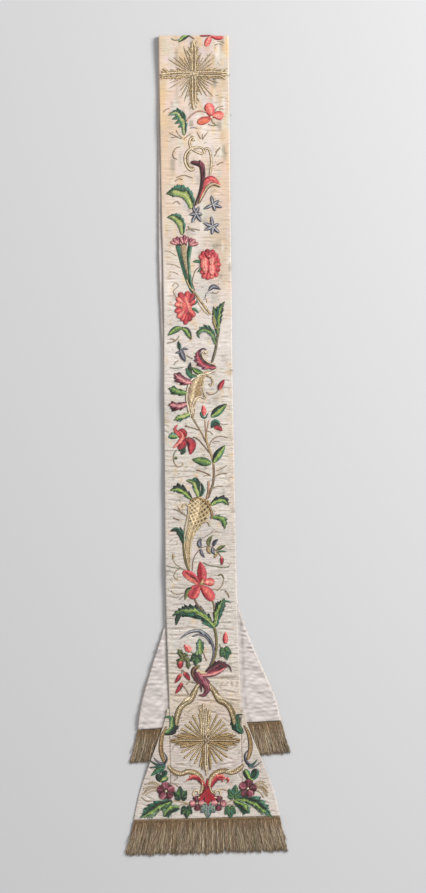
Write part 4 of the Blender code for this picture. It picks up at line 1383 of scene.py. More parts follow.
MIDDLE_MOTIFS = (
    sewn("stem", "rope", 1.9, 187, 403, 189.3, 412, 193, 419, 198, 427, 202.5, 435, 206, 443),
    sewn("stem", "gilt rope", 1.1, 193, 404, 194.8, 411, 193.2, 418),
    sewn("stem", "rope", 1.3, 185.5, 426.3, 192, 427.8, 200, 430.5),
    sewn("bud", "rope", 2.2, 185, 425.5, 188, 427.2),
    sewn("stem", "rope", 1.6, 192.5, 436.8, 198.5, 439.8, 204, 446, 209.5, 453),
    *alike(
        "stem", "net", (1.6, 205, 419.5, 205.3, 426, 206, 433),
        (1.2, 208.8, 420, 207.6, 427, 206.5, 433),
    ),
    sewn("stem", "gilt rope", 2.5, 206, 432, 206.4, 440, 209, 449, 212, 457, 213.7, 466),
    sewn("stem", "rope", 2.5, 213.5, 464, 213.8, 474, 213, 483, 210.5, 491, 207.5, 499),
    sewn("stem", "net", 2.6, 208.5, 480.5, 208.5, 487, 208, 493, 206.5, 499.5),
    *alike(
        "stem", "twig", (1.3, 209.5, 446, 211.5, 441, 216, 437.3, 222, 436.5, 228.5, 438),
        (1, 206.5, 431, 210, 431.8, 213, 435), (0.8, 212, 443, 215, 441.3, 220, 441.8),
        (0.8, 220, 423.5, 224, 424.8, 228, 424),
    ),
    sewn("stem", "plum twig", 1.5, 195.5, 470, 201.5, 471.3, 206.5, 473.3, 211, 475.5),
    *alike(
        "stem", "twig", (0.8, 203, 476.5, 207, 475.2, 210, 475.8),
        (1.4, 214, 477, 219.5, 474.2, 227.5, 473), (0.8, 216, 471, 222, 468.5, 227, 465),
        (1, 213, 488, 218, 486.2, 224, 486.3),
    ),
    sewn("bud", "bud", 5.2, 203.5, 416, 203.8, 411, 203, 405),
    sewn("claw", "calyx", 3, 201, 411.5, 202, 416.3, 205.5, 417.8, 208.5, 412.5),
    sewn("leaf", "dark leaf", 8.8, 211, 417, 217.5, 411.5, 227, 403.8),
    sewn("leaf", "bottle leaf", 6.6, 220, 425.5, 215, 422.5, 211, 428.5),
    sewn("bud", "crimson bud", 6, 214, 428, 218, 427.3, 222.3, 430.8),
    sewn("toothed", "sage leaf", 7.6, 178.5, 437, 172.5, 436, 168.3, 437.8, teeth=2, flip=True),
    sewn("toothed", "bottle leaf", 6.2, 184.5, 446.5, 183.3, 450.5, 181.3, 454.8, teeth=2),
    sewn("toothed", "bottle leaf", 3.4, 183.5, 449, 180.5, 450, 178.5, 450.8, teeth=2),
    sewn("petal", "crimson", 8.4, 184.8, 438.5, 183, 444.5, 178.5, 449.5),
    sewn("pointed", "deep red", 9, 185, 438, 191.5, 443.5, 190.5, 454.8),
    sewn("petal", "crimson", 5.6, 178.5, 430, 183, 431, 186.2, 436.8),
    sewn("claw", "rose", 6.2, 183.5, 437.5, 177.5, 433, 175, 429, 178, 424.3),
    sewn("pointed", "pale rose", 5.4, 178, 430, 182.5, 435, 181, 441, 172.8, 448.3),
    sewn("bud", "knot", 1.8, 185.5, 437.8, 188, 436.3),
    sewn("stem", "sage twig", 1.2, 177.5, 449.5, 174.5, 453, 173.7, 458, 174.5, 463.5),
    sewn("bud", "olive leaf", 3.2, 174.5, 457.8, 178, 458.2),
    sewn("stem", "spray", 1.1, 174.5, 463, 178, 466.5, 182.5, 465.5, 183, 462.5),
    sewn("leaf", "meadow leaf", 8.8, 211.5, 463.5, 202, 461.3, 192, 459.2, flip=True),
    sewn("leaf", "dark leaf", 8.4, 213, 463, 217.5, 455.5, 225.3, 445),
    sewn("spiny", "dark leaf", 11.4, 191.8, 499, 184.5, 492, 178, 488.8, 170, 490.3, teeth=5, flip=True),
    sewn("toothed", "bottle leaf", 4.4, 200.5, 497, 203, 490, 201.3, 482.5, teeth=2),
    sewn("toothed", "night leaf", 4.6, 198.8, 489, 198.3, 482.5, 196, 477, teeth=2),
    sewn("spiny", "acanthus", 9.4, 198.8, 497.5, 196.8, 489, 193.5, 482, 186, 480.3, teeth=3),
    sewn("spiny", "dark leaf", 9.8, 210.5, 505, 217, 500.8, 224, 500.3, 229, 505.3, teeth=4),
    sewn("spiny", "meadow leaf", 8.4, 212, 517, 219, 517.8, 223.5, 521.5, 225, 528.8, teeth=4),
    sewn("stem", "twig", 1, 174, 509, 180.5, 511.5, 186.5, 516),
    sewn("stem", "plum twig", 1.3, 173, 517.8, 176, 518.7, 180, 520),
    sewn("stem", "twig", 0.8, 178, 507, 180, 510, 181, 513),
    sewn("leaf", "bottle leaf", 4.4, 184, 545, 183.2, 536, 180.2, 526.5),
    sewn("toothed", "bottle leaf", 7.2, 183.8, 544, 181.5, 535, 176.5, 529.5, 170, 531, teeth=2),
    sewn("stem", "olive rope", 2.1, 183.4, 542, 184.2, 554, 186, 563, 189.5, 571),
    sewn("stem", "plum twig", 0.9, 192.5, 571, 193, 562, 195.5, 555, 200.5, 548.5),
    *alike(
        "stem", "twig", (0.8, 201, 547.5, 207, 546.3, 213.5, 547),
        (0.8, 213.5, 548, 218, 552, 222, 557.5),
    ),
    *alike(
        "leaf", "dusk", (4.8, 200.7, 548, 199.3, 543, 201, 538),
        (3.2, 200.5, 548.5, 202, 553.5, 205, 557.5),
    ),
    sewn("leaf", "olive leaf", 4.2, 209, 546.5, 208.8, 541, 212.5, 535),
    sewn("leaf", "husk", 3.4, 208, 546, 208.3, 550, 210.8, 554),
    sewn("leaf", "night", 3.9, 213.3, 546.5, 214.8, 542, 218.3, 538.8),
    sewn("leaf", "dusk", 3.6, 213, 547, 212.8, 551, 214.8, 554.5),
    sewn("leaf", "olive leaf", 3.6, 216.5, 550, 221, 547.2, 226, 545),
    sewn("leaf", "teal leaf", 1.8, 216.5, 552.5, 221, 551, 227, 551.6),
    sewn("leaf", "husk", 3, 214.3, 558, 216, 554.8, 218.8, 553),
    sewn("bud", "crimson bud", 3.8, 221.5, 556.5, 222, 560, 222, 565),
    sewn("stem", "sage twig", 1.2, 203, 562, 209, 565, 216, 566, 223, 567.2, 230, 566.3),
    sewn("stem", "twig", 0.7, 203, 538, 207, 535.5, 211, 533, 214, 529.5),
)
LOWER_MOTIFS = (
    sewn("pointed", "dark wine", 6.4, 206, 673.5, 213.5, 668.8, 224, 665.6),
    sewn("stem", "sage twig", 1.2, 165.5, 565.2, 172, 567, 180, 568.3, 188, 570.5),
    sewn("bud", "husk", 2.4, 173.5, 553.5, 173.3, 559.5),
    *alike(
        "stem", "twig", (1, 173, 560, 176.5, 564.5, 182, 568.3),
        (1.1, 180, 568.5, 176, 571, 174, 575.5, 176.3, 579, 178.5, 576.8),
        (1.1, 171, 590, 173.5, 593, 178.5, 593.8, 186, 592.3),
    ),
    sewn("stem", "sage twig", 1.2, 179, 599.5, 183.5, 596, 187.5, 592.5),
    sewn("stem", "olive rope", 1.6, 217.5, 575.5, 221.5, 574.5, 224, 578.5),
    *alike(
        "stem", "twig", (1.1, 224.3, 578, 221.5, 586, 216.5, 591), (0.9, 211.5, 589, 217.5, 589.3),
    ),
    *alike(
        "stem", "rope", (1.4, 224.5, 590.3, 227.5, 593.5, 229.3, 597.8),
        (2.2, 194, 597, 197, 604, 203, 611, 209, 618.5, 214, 626),
        (1.9, 212, 599, 214, 606, 214.5, 614, 215.3, 625),
    ),
    sewn("leaf", "olive leaf", 5.2, 193.5, 588, 188, 590.5, 184.8, 600),
    sewn("petal", "lily low", 12.4, 200.5, 585, 194.8, 590.5, 190.6, 598.6),
    sewn("petal", "lily right", 11, 200, 585, 207.2, 592, 213.4, 600.4),
    sewn("petal", "lily left", 9.6, 201, 585.5, 191.8, 577.2, 182.6, 571),
    sewn("petal", "pale rose", 8.4, 203, 583.5, 208.5, 581.8, 214.8, 582.6),
    sewn("leaf", "cherry", 3.2, 204, 581.5, 208, 580.6, 212.4, 581.2),
    sewn("pointed", "lily top", 9.8, 202, 585, 202, 574, 200.2, 561.3),
    sewn("ray", "cherry", 1.6, 200, 585, 205, 590.5, 209.5, 596.5),
    sewn("ray", "maroon vein", 1.4, 199, 583.5, 193, 578.8, 187, 574.2),
    sewn("stem", "core", 1.2, 201, 587.5, 204.5, 590.5, 207, 594),
    sewn("bud", "husk", 4.6, 200.5, 585.5, 202.2, 582, 203, 578.5),
    sewn("bud", "knot", 1.9, 201.5, 583.5, 203.3, 581),
    sewn("leaf", "night leaf", 5, 182.5, 612.5, 178, 617, 176, 625.3),
    sewn("leaf", "teal leaf", 4.6, 214, 628, 208.5, 623.8, 201.5, 622.5),
    sewn(
        "spiny", "spine leaf", 15, 214.5, 628, 207.5, 619.5, 198, 613.5, 187, 611.3, 178.5, 612.3, 172,
        616, teeth=10, flip=True,
    ),
    sewn("claw", "lime streak", 2, 213.5, 626, 207, 619.3, 198, 614.2, 188, 612.2),
    sewn("spiny", "spine leaf", 13.2, 215.3, 627, 217.2, 616, 219.8, 607.5, 224.6, 597.8, teeth=7),
    sewn("claw", "lime streak", 1.9, 215.6, 625, 217.8, 615.5, 220.2, 608),
    sewn("leaf", "teal leaf", 2.4, 219.5, 606, 225, 601, 231.5, 602.3),
    sewn(
        "stem", "olive rope", 2.8, 213, 624, 215.5, 632, 216.5, 641, 216.3, 649, 214.5, 657, 211.5, 665,
        208, 671,
    ),
    sewn(
        "claw", "smoke", 4.6, 205, 634.5, 199.5, 630.5, 191.5, 631.3, 184.5, 635, 179, 639.5, flip=True,
    ),
    sewn("stem", "dusk", 1.8, 192, 636.3, 199, 634.2, 206, 637, 211, 644),
    sewn("claw", "dusk", 3.6, 203, 631.5, 210, 638.5, 213.5, 648, 213, 657, 208.5, 668),
    sewn("petal", "pink bud", 6.2, 184.5, 644, 187, 647.5, 191, 651.5),
    sewn("bud", "crimson bud", 2.2, 186, 646.3, 188.5, 648.5),
    sewn("stem", "sage twig", 0.9, 190.5, 651, 193, 653, 191.5, 655, 187, 656),
    sewn("toothed", "sage leaf", 9.4, 200.3, 655, 200.2, 646.5, 199.4, 638, teeth=3),
    sewn("leaf", "sage leaf", 4.4, 198, 656, 197.5, 652, 198, 649),
    sewn("stem", "net", 1.1, 203, 651, 205, 656, 207, 661),
    sewn("bud", "bud", 5.2, 225.5, 643.5, 225.3, 638, 225.6, 631.5),
    sewn("stem", "sage twig", 0.9, 219.5, 643.5, 221, 646.5, 224, 649),
    sewn("spiny", "berry leaf", 7.6, 184, 662, 182.5, 656, 178, 649, teeth=3),
    sewn("spiny", "berry leaf", 6.4, 183, 657, 187, 659.5, 188.8, 669, teeth=3),
    sewn("spiny", "berry leaf", 5.6, 183.5, 658.5, 180, 660, 177.6, 664.5, teeth=2),
    sewn("leaf", "berry leaf", 3.8, 182.5, 656, 185.8, 654.5, 188.5, 655.5),
    sewn("bud", "crimson bud", 6.6, 180.8, 660.5, 180.4, 664.5, 180.6, 668.6),
    *alike(
        "stem", "sage twig", (1, 182, 668.5, 182.3, 671.5, 180.3, 674.5),
        (0.9, 182.3, 669.5, 184, 671, 186, 673),
    ),
    *alike(
        "bud", "crimson bud", (4.4, 181.2, 673.5, 178.8, 677.5, 175, 682.8),
        (5.2, 183.8, 672, 187, 675.3, 190, 680.3), (4.6, 182.5, 682, 180, 687, 175.5, 693.5),
    ),
    *alike(
        "stem", "twig", (0.9, 183.5, 685.5, 187, 690, 189, 695), (1, 186, 684.5, 190, 681.3, 196, 683),
    ),
    sewn("spiny", "dark wine", 8.4, 205, 672.5, 213, 666.8, 220, 663.5, 226.5, 662.3, teeth=5),
    sewn("leaf", "feather", 5.8, 198, 674.2, 209, 674.2, 219, 671, 228.5, 665.3),
    sewn("claw", "dark wine", 3.6, 219, 669.8, 226, 665.5, 229.5, 666.3, 231.8, 671.8),
    sewn("leaf", "dark wine", 3, 219, 667.5, 224, 664.3, 229.5, 665.2),
    sewn("leaf", "cream cord", 4.6, 194.5, 667.5, 199.5, 671.8, 208.5, 673),
    sewn("leaf", "wine", 5.8, 203, 676.5, 206.8, 682, 208.5, 688, 208.5, 693),
    sewn(
        "claw", "wine streak", 8.6, 196.5, 671, 200.5, 678, 205, 684.5, 206.4, 690, 203.6, 694.6, 198.8,
        694.4,
    ),
    *alike(
        "claw", "dark wine", (6.6, 196.8, 666.5, 193.6, 672, 196, 678.5, 200.4, 684.5, 201.8, 692),
        (2.4, 205.8, 684.5, 207.8, 690.8, 204.5, 695.8, 198, 694.8),
    ),
    sewn("claw", "olive rope", 3, 200.5, 665.6, 195, 667.4, 192.4, 672.5, 194.4, 679),
)
SPADE_MOTIFS = (
    sewn("scallop", "frame leaf", 11.2, 162.5, 733.2, 169.5, 731, 173.2, 724.6, 172.6, 714.8, teeth=6),
    sewn("leaf", "teal leaf", 3.2, 173, 718.6, 169, 716.9, 164, 716.8),
    sewn("scallop", "teal frame", 12.6, 243.4, 733, 238.8, 728.6, 236.6, 721.8, 238.6, 714.6, teeth=6),
    sewn("claw", "bottle leaf", 3.2, 235.3, 718.5, 237.2, 714.8, 243.8, 714.3),
    sewn("stem", "sage twig", 1.2, 240.3, 730.5, 237.2, 724, 237.8, 717.5),
    sewn("claw", "night teal", 4.4, 166, 765.4, 158, 764.8, 149.5, 760),
    sewn("claw", "dusk", 3.4, 165, 764, 158, 761.6, 153.5, 756.5),
    sewn("claw", "night teal", 4, 165.5, 766, 158.5, 766.6, 149, 767.2),
    sewn("leaf", "teal leaf", 5.6, 166, 766.5, 160.5, 768.3, 156, 771.5, 150.5, 776),
    sewn("claw", "night teal", 2.8, 164, 767.5, 161, 772, 157, 776),
    *alike(
        "claw", "night", (3.4, 158.5, 764.8, 164.5, 763.3, 167, 758, 164, 751.5),
        (4, 253, 767, 246.8, 762, 244.8, 755, 248.8, 748.5),
    ),
    sewn("claw", "night teal", 3.8, 248, 766.2, 253.5, 763.6, 257.6, 758.6),
    sewn("claw", "dusk", 2.6, 248.5, 767.3, 255, 766, 262, 760.8),
    sewn("petal", "night leaf", 6.4, 163.5, 781.5, 159.6, 778.8, 157.2, 773.4),
    sewn("petal", "bottle leaf", 5.4, 159.5, 777.2, 163.6, 774.8, 166.6, 770),
    sewn("petal", "lime leaf", 5.6, 159.5, 781.2, 163.8, 779.6, 168.2, 776.6),
    sewn("petal", "dark leaf", 7.4, 253.5, 780.5, 248.5, 776.5, 244.6, 769),
    sewn("petal", "bottle leaf", 8.4, 248.5, 777, 254, 775.5, 256, 768.3),
    *alike(
        "stem", "spray", (1.2, 160.5, 787, 153, 783, 144, 784.5), (1.3, 160.5, 788, 152, 786, 143, 789),
        (1.3, 160.5, 789.5, 151.5, 788.3, 142, 794.5), (1.2, 159.5, 791, 152, 791, 145, 795.5),
        (1, 160, 785, 155, 781.8, 149, 781.8),
    ),
    sewn("stem", "twig", 0.9, 158.5, 787, 150, 786.8, 144.5, 791.5),
    *alike(
        "stem", "spray", (1.2, 254, 785, 262, 783, 268.5, 788), (1.3, 254, 786, 262.5, 786, 269, 793),
        (1.3, 254, 787.5, 262, 789, 267.5, 796.5), (1.2, 254, 789.5, 260, 792, 264, 797.5),
        (1, 254.5, 783.5, 260, 781, 266, 782),
    ),
    *alike(
        "stem", "twig", (0.9, 255, 786.8, 263, 788, 268, 796), (0.9, 141, 796.5, 147, 801, 153, 800.5),
        (0.8, 170.5, 782, 175, 783.8, 179, 787), (0.8, 170, 776, 174, 774.5, 178, 777.5, 174, 780),
    ),
    *alike(
        "stem", "spray", (1.2, 168, 802, 177, 801, 190, 803.5), (1, 176, 807.5, 182, 804.3, 190, 803.8),
        (1.2, 240, 799, 232, 800.5, 223.5, 803.8), (1, 236, 803, 230, 804.5, 223.5, 804.3),
        (0.9, 218, 789.8, 223, 789, 228, 790.5),
    ),
    sewn(
        "spiny", "strap leaf", 14.5, 171.5, 800.5, 161, 804.5, 152.5, 810, 139.8, 817.6, teeth=8,
        flip=True,
    ),
    sewn("leaf", "ivy", 6.4, 173, 800.8, 166, 804.5, 160.5, 810.5),
    sewn("scallop", "strap leaf", 12, 180, 807.5, 171.5, 809.3, 163.5, 816.5, teeth=5),
    sewn("spiny", "strap leaf", 14.5, 234, 798.2, 249, 799.8, 260, 805.8, 272.5, 817.4, teeth=8),
    sewn("scallop", "strap leaf", 11.5, 233.5, 800.5, 241.5, 805.5, 250, 813, teeth=5, flip=True),
    *alike(
        "petal", "fleur", (6.4, 206.5, 793, 202.5, 796, 199.4, 801),
        (6.4, 208.5, 793, 212, 796, 215, 800.8),
    ),
    sewn("pointed", "fleur", 11.5, 207.3, 784, 207.5, 796, 208, 806.5),
    sewn("claw", "fleur", 6.8, 207.3, 797, 207.3, 788, 207.3, 777.5),
    sewn("spiny", "fleur curl", 7.6, 205.5, 787, 200, 779.5, 194, 777, 186.2, 780.6, teeth=4),
    sewn(
        "spiny", "fleur curl", 7.6, 210.5, 788, 214.6, 780.3, 220, 776.8, 228.4, 779.2, teeth=4,
        flip=True,
    ),
    *alike(
        "cord", "pale gilt",
        (1.9, 201.5, 797, 196, 797.5, 193.2, 793.8, 195, 790.3, 198.6, 791.4, 197.6, 794.2),
        (1.9, 212, 797, 217.6, 797.3, 220.6, 793.6, 218.8, 790, 215.3, 791.2, 216.4, 794),
    ),
    sewn("claw", "fleur curl", 3.4, 218, 779, 222, 779, 222.5, 782.5, flip=True),
    sewn("claw", "fleur curl", 3.4, 226, 777.5, 228.5, 780, 227, 783, flip=True),
)


class Bloom(NamedTuple):
    """A flower of petals round a middle. Reach and width are in squares, the first angle in degrees."""

    x: float
    y: float
    reach: float
    wide: float
    petals: int
    start: float
    silks: tuple
    cut: str = "petal"
    squash: float = 1.0
    knot: float = 2.6
    inner: float = 0.12


BLOOMS = {
    "neck": (),
    "upper": (),
    "middle": (),
    "lower": (),
    "spade": (
        Bloom(166.0, 790.8, 9.4, 8.6, 5, 93, ("pansy", "dark pansy")),
        Bloom(247.8, 788.2, 9.4, 8.6, 5, 80, ("dark pansy", "pansy")),
        Bloom(197.0, 803.0, 7.8, 7.2, 4, 98, ("dark pansy", "pink pansy"), knot=1.8),
        Bloom(218.8, 803.0, 7.8, 7.2, 4, 86, ("dark pansy", "pink pansy"), knot=1.8),
    ),
}


class Ivy(NamedTuple):
    """A lobed leaf: its foot and its longest lobe's tip, in squares."""

    x: float
    y: float
    tip_x: float
    tip_y: float
    wide: float
    silk: str


IVIES = {
    "neck": (),
    "upper": (),
    "middle": (),
    "lower": (
        Ivy(196.8, 655.2, 195.6, 665.6, 6.4, "ivy"),
        Ivy(224.5, 649.0, 227.5, 659.6, 6.6, "teal ivy"),
    ),
    "spade": (
        Ivy(181.0, 798.5, 180.0, 785.6, 6.6, "ivy"),
        Ivy(234.0, 797.5, 235.8, 784.2, 6.6, "teal ivy"),
        Ivy(186.5, 807.5, 187.0, 818.5, 6.0, "ivy"),
        Ivy(230.0, 807.5, 230.8, 818.5, 6.0, "teal ivy"),
        Ivy(208.0, 804.0, 208.0, 818.5, 7.4, "grey leaf"),
    ),
}


class Star(NamedTuple):
    """A small star flower: its middle and the tips of its rays, in squares."""

    x: float
    y: float
    tips: tuple


TOP_MOTIFS = (
    *alike(
        "petal", "cherry", (4.4, 209.5, 260, 207.5, 255.5, 205, 252.5),
        (4.6, 210, 260, 210, 255.5, 209.4, 251), (4.4, 210.5, 260, 213, 256, 214.6, 253),
    ),
    *alike(
        "bud", "pale rose", (2.6, 208, 257.8, 210.2, 255.4), (2.2, 211.4, 257.2, 213.2, 255.8),
    ),
    *alike(
        "petal", "bright lobe", (8.6, 206, 274.5, 204.6, 266, 205, 257.6),
        (8, 211.2, 266, 211.8, 261.5, 212, 256.8), (8.4, 212.4, 276, 211.8, 270, 211.8, 264.6),
    ),
)
STARS = (
    Star(213, 205, ((211.5, 195.5), (219.5, 200.5), (222.5, 207.8), (215.5, 211.5), (203.5, 209.3))),
    Star(
        196, 214,
        ((199.3, 206.5), (193, 206.3), (189.5, 214.8), (192, 223.3), (201.5, 222.3), (202.8, 215)),
    ),
    Star(213, 227, ((211.3, 216.3), (219.5, 224), (219.5, 233.5), (212, 235), (204.3, 230.5), (203.5, 223))),
)
ALL_MOTIFS = (NECK_MOTIFS, UPPER_MOTIFS, MIDDLE_MOTIFS, LOWER_MOTIFS, SPADE_MOTIFS)
print(sum(map(len, ALL_MOTIFS)), "motif rows")

# %% [markdown]
# Flowers, lobed leaves and stars are worked from the same blades, set round a middle.

# %% Stitching
LIFT_STEP = 0.000012
TOP_STEPS = 30
KNOT_LIFT = 0.0006
RAY_WIDE = 3.6
STAR_KNOT = 1.8
IVY_LOBES = ((-78, 0.50), (78, 0.50), (-40, 0.78), (40, 0.78), (0, 1.0))


def bloom(pad, row, lift):
    """Petals set round a middle, every other one first so that they overlap, then a knot."""
    order = [*range(0, row.petals, 2), *range(1, row.petals, 2)]
    for turn, k in enumerate(order):
        angle = math.radians(row.start + 360 * k / row.petals)
        out_x, out_y = row.reach * row.squash * math.cos(angle), -row.reach * math.sin(angle)
        path = [(row.x + out_x * s, row.y + out_y * s) for s in (row.inner, 0.6, 1.0)]
        silk = row.silks[k % len(row.silks)]
        blade(pad, path, row.wide, row.cut, silk, lift + turn * LIFT_STEP)
    if row.knot:
        half = row.knot / 2
        path = ((row.x - half, row.y), (row.x, row.y), (row.x + half, row.y))
        blade(pad, path, row.knot, "bud", "knot", lift + KNOT_LIFT)


def ivy(pad, row, lift):
    """Five pointed lobes that spread from a foot, the middle one longest and last."""
    run_x, run_y = row.tip_x - row.x, row.tip_y - row.y
    for turn, (angle, share) in enumerate(IVY_LOBES):
        a = math.radians(angle)
        x = (run_x * math.cos(a) - run_y * math.sin(a)) * share
        y = (run_x * math.sin(a) + run_y * math.cos(a)) * share
        foot = (row.x + 0.1 * run_x, row.y + 0.1 * run_y)
        path = (foot, (row.x + 0.55 * x, row.y + 0.55 * y), (row.x + x, row.y + y))
        blade(pad, path, row.wide, "leaf", row.silk, lift + turn * LIFT_STEP, flip=angle < 0)


def star(pad, row, lift):
    """Pointed rays from a middle to each tip."""
    for turn, (x, y) in enumerate(row.tips):
        middle = ((row.x + x) / 2, (row.y + y) / 2)
        path = ((row.x, row.y), middle, (x, y))
        blade(pad, path, RAY_WIDE, "pointed", "star", lift + turn * LIFT_STEP)
    half = STAR_KNOT / 2
    blade(pad, ((row.x - half, row.y), (row.x + half, row.y)), STAR_KNOT, "bud", "knot", lift + KNOT_LIFT)


def embroider(name, motifs, blooms=(), ivies=(), stars=(), tops=()):
    """Works one stretch of the embroidery flat."""
    pad = []
    lift = 0.0
    for row in motifs:
        blade(pad, row.path, row.wide, row.cut, row.silk, lift, row.teeth, row.flip)
        lift += LIFT_STEP
    for turn, row in enumerate(tops):
        blade(pad, row.path, row.wide, row.cut, row.silk, lift + (TOP_STEPS + turn) * LIFT_STEP)
    for work, rows in ((bloom, blooms), (ivy, ivies), (star, stars)):
        for row in rows:
            work(pad, row, lift)
            lift += LIFT_STEP
    return shape_from(pad, f"embroidery_{name}", STITCHES)


STRETCHES = {
    "neck": OUTLINES + SCROLL_MOTIFS + NECK_MOTIFS,
    "upper": UPPER_MOTIFS,
    "middle": MIDDLE_MOTIFS,
    "lower": LOWER_MOTIFS,
    "spade": SPADE_MOTIFS,
}
embroidery = [
    embroider(
        name, rows, BLOOMS[name], IVIES[name],
        STARS if name == "neck" else (), TOP_MOTIFS if name == "upper" else (),
    )
    for name, rows in STRETCHES.items()
]
print(sum(map(triangles, embroidery)), "triangles of embroidery")

# %% [markdown]
# The gold work is couched: gold threads laid in rows and tied down, so it stands up more than silk.
# Each scroll follows the solid's own line and widths. The crosses are double lines of cord with barbs,
# and fine rays spread from their middles. Shell and horn have a net of gold over a darker ground.

# %% Gold tables


class Turn(NamedTuple):
    """A place on the line of a gold scroll, in metres on the front tail, with its width there."""

    across: float
    down: float
    wide: float


ARCH = tuple(Turn(*row) for row in (
    (0.0085, 0.844, 0.003), (0.013, 0.852, 0.0062), (0.0185, 0.8625, 0.0066), (0.026, 0.867, 0.006),
    (0.032, 0.873, 0.0064), (0.0358, 0.882, 0.0068), (0.038, 0.896, 0.004),
))
SIDE_SCROLL = tuple(Turn(*row) for row in (
    (0.05, 0.896, 0.0016), (0.056, 0.908, 0.004), (0.0582, 0.922, 0.005), (0.057, 0.933, 0.0048),
    (0.0535, 0.9425, 0.003),
))
SWEEP = tuple(Turn(*row) for row in (
    (0.05, 0.947, 0.003), (0.042, 0.9545, 0.0052), (0.033, 0.958, 0.0054), (0.024, 0.9555, 0.0058),
    (0.014, 0.9575, 0.006), (0.0068, 0.964, 0.0052), (0.0045, 0.974, 0.0042), (0.007, 0.983, 0.003),
    (0.0125, 0.985, 0.0022),
))
SHELL = tuple(Turn(*row) for row in (
    (0.0152, 0.4355, 0.0028), (0.0085, 0.4395, 0.007), (0.0015, 0.4465, 0.015), (-0.003, 0.4575, 0.019),
    (-0.0045, 0.467, 0.0185), (-0.0078, 0.4755, 0.0125), (-0.0092, 0.4855, 0.0062),
    (-0.0078, 0.496, 0.0022),
))
HORN = tuple(Turn(*row) for row in (
    (0.001, 0.5985, 0.01), (0.0005, 0.6035, 0.024), (0, 0.611, 0.0295), (-0.002, 0.622, 0.026),
    (-0.0078, 0.635, 0.017), (-0.0125, 0.647, 0.0115), (-0.0155, 0.66, 0.0085), (-0.016, 0.676, 0.0062),
    (-0.014, 0.693, 0.002),
))
SHELL_CORDS = (
    sewn(
        "cord", "shell rim", 2.2, 217.5, 368.5, 209, 373, 199, 375.3, 191.8, 380, 188.2, 387, 186.6, 397,
        188, 407, 190.8, 417.5,
    ),
    sewn("cord", "gilt", 1.2, 206, 375, 203, 380, 202.5, 388, 204, 394, 206.5, 398.5),
    sewn("cord", "shell rim", 1.8, 206.5, 399, 200, 396.6, 195, 399.5, 192.2, 407, 191.5, 415),
    sewn("cord", "gilt", 1.5, 206, 375.5, 211, 377.5, 213, 382, 211.5, 385.5, 209, 383.5),
)
HORN_CORDS = (
    sewn("cord", "gilt dark", 2.2, 190, 500.5, 197, 498, 204, 500.5, 209, 506, 212, 513, 211.5, 519),
    sewn("cord", "gilt light", 1.6, 200, 523, 206, 521, 209, 523, 210, 526),
    sewn("cord", "gilt", 1.4, 189, 506.5, 186.5, 504, 184, 504.5, 182, 507.5),
    *alike(
        "cord", "gilt light", (1.3, 189, 503, 188, 515, 185, 530, 184.5, 545, 187, 560, 189.5, 569),
        (1.2, 199, 524, 194.5, 530, 191.5, 540, 190, 552, 190, 566),
    ),
    sewn("bud", "gilt light", 3, 205.5, 517, 208.8, 517.3),
)
NECK_CROSS_LINES = (
    *alike(
        "stem", "tan gilt", (0.9, 193.9, 105, 193.9, 76, 193.8, 49),
        (1.1, 162, 74.4, 193, 74.4, 225, 74.4),
    ),
    sewn("cord", "tan gilt", 0.7, 190.6, 71, 190.3, 60, 190.8, 50, 192.6, 43, teeth=4),
    sewn("cord", "tan gilt", 0.7, 197.2, 71, 197.3, 60, 196.7, 50, 194.6, 43, teeth=4),
    *alike(
        "cord", "pale gilt", (1.6, 192.2, 73, 192, 62, 192.1, 50, 193.3, 41),
        (1.6, 195.6, 73, 195.5, 62, 195.3, 50, 193.8, 41),
    ),
    sewn("cord", "tan gilt", 0.8, 197, 71, 206, 70.6, 216, 70.4, 226, 71.4, teeth=4),
    sewn("cord", "tan gilt", 0.8, 197, 77.8, 206, 78, 216, 77.8, 226, 77, teeth=4),
    *alike(
        "cord", "pale gilt", (1.6, 195, 72.8, 205, 72.5, 216, 72.6, 227.5, 73.6),
        (1.6, 195, 75.9, 205, 76.1, 216, 76.1, 227.5, 75.2),
    ),
    sewn("cord", "tan gilt", 0.8, 190, 71, 181, 70.8, 170, 71.6, 161, 73, teeth=4),
    *alike(
        "cord", "pale gilt", (1.5, 192.5, 72.8, 182, 72.8, 170, 73.3, 160.5, 74.8),
        (1.4, 192.5, 75.4, 182, 75.5, 170, 75.7, 160.5, 75.8),
    ),
    sewn("cord", "tan gilt", 1.5, 191, 77.4, 182, 77.8, 170, 78.2, 160.3, 77.8, teeth=4),
    sewn("cord", "tan gilt", 0.7, 190.6, 78, 190.4, 88, 190.9, 98, 193.4, 108, teeth=5),
    sewn("cord", "tan gilt", 0.7, 197.2, 78, 197.3, 88, 196.8, 98, 194.8, 108, teeth=5),
    *alike(
        "cord", "pale gilt", (1.6, 192.3, 76, 192.3, 88, 192.7, 100, 193.8, 110.3),
        (1.6, 195.6, 76, 195.6, 88, 195.3, 100, 194.2, 110.3),
    ),
    *alike(
        "ray", "pale gilt", (1.6, 192, 57, 189.5, 54.5, 187.2, 50.8),
        (1.6, 195.5, 57, 197.5, 55, 199.8, 51.8), (1.5, 219.5, 72.5, 222.5, 71.3, 226.2, 68.6),
        (1.5, 219.5, 76.4, 222.5, 77.6, 226, 80.2),
    ),
    sewn("ray", "tan gilt", 1.6, 168, 72.8, 165.5, 70.8, 162.6, 68.9),
)
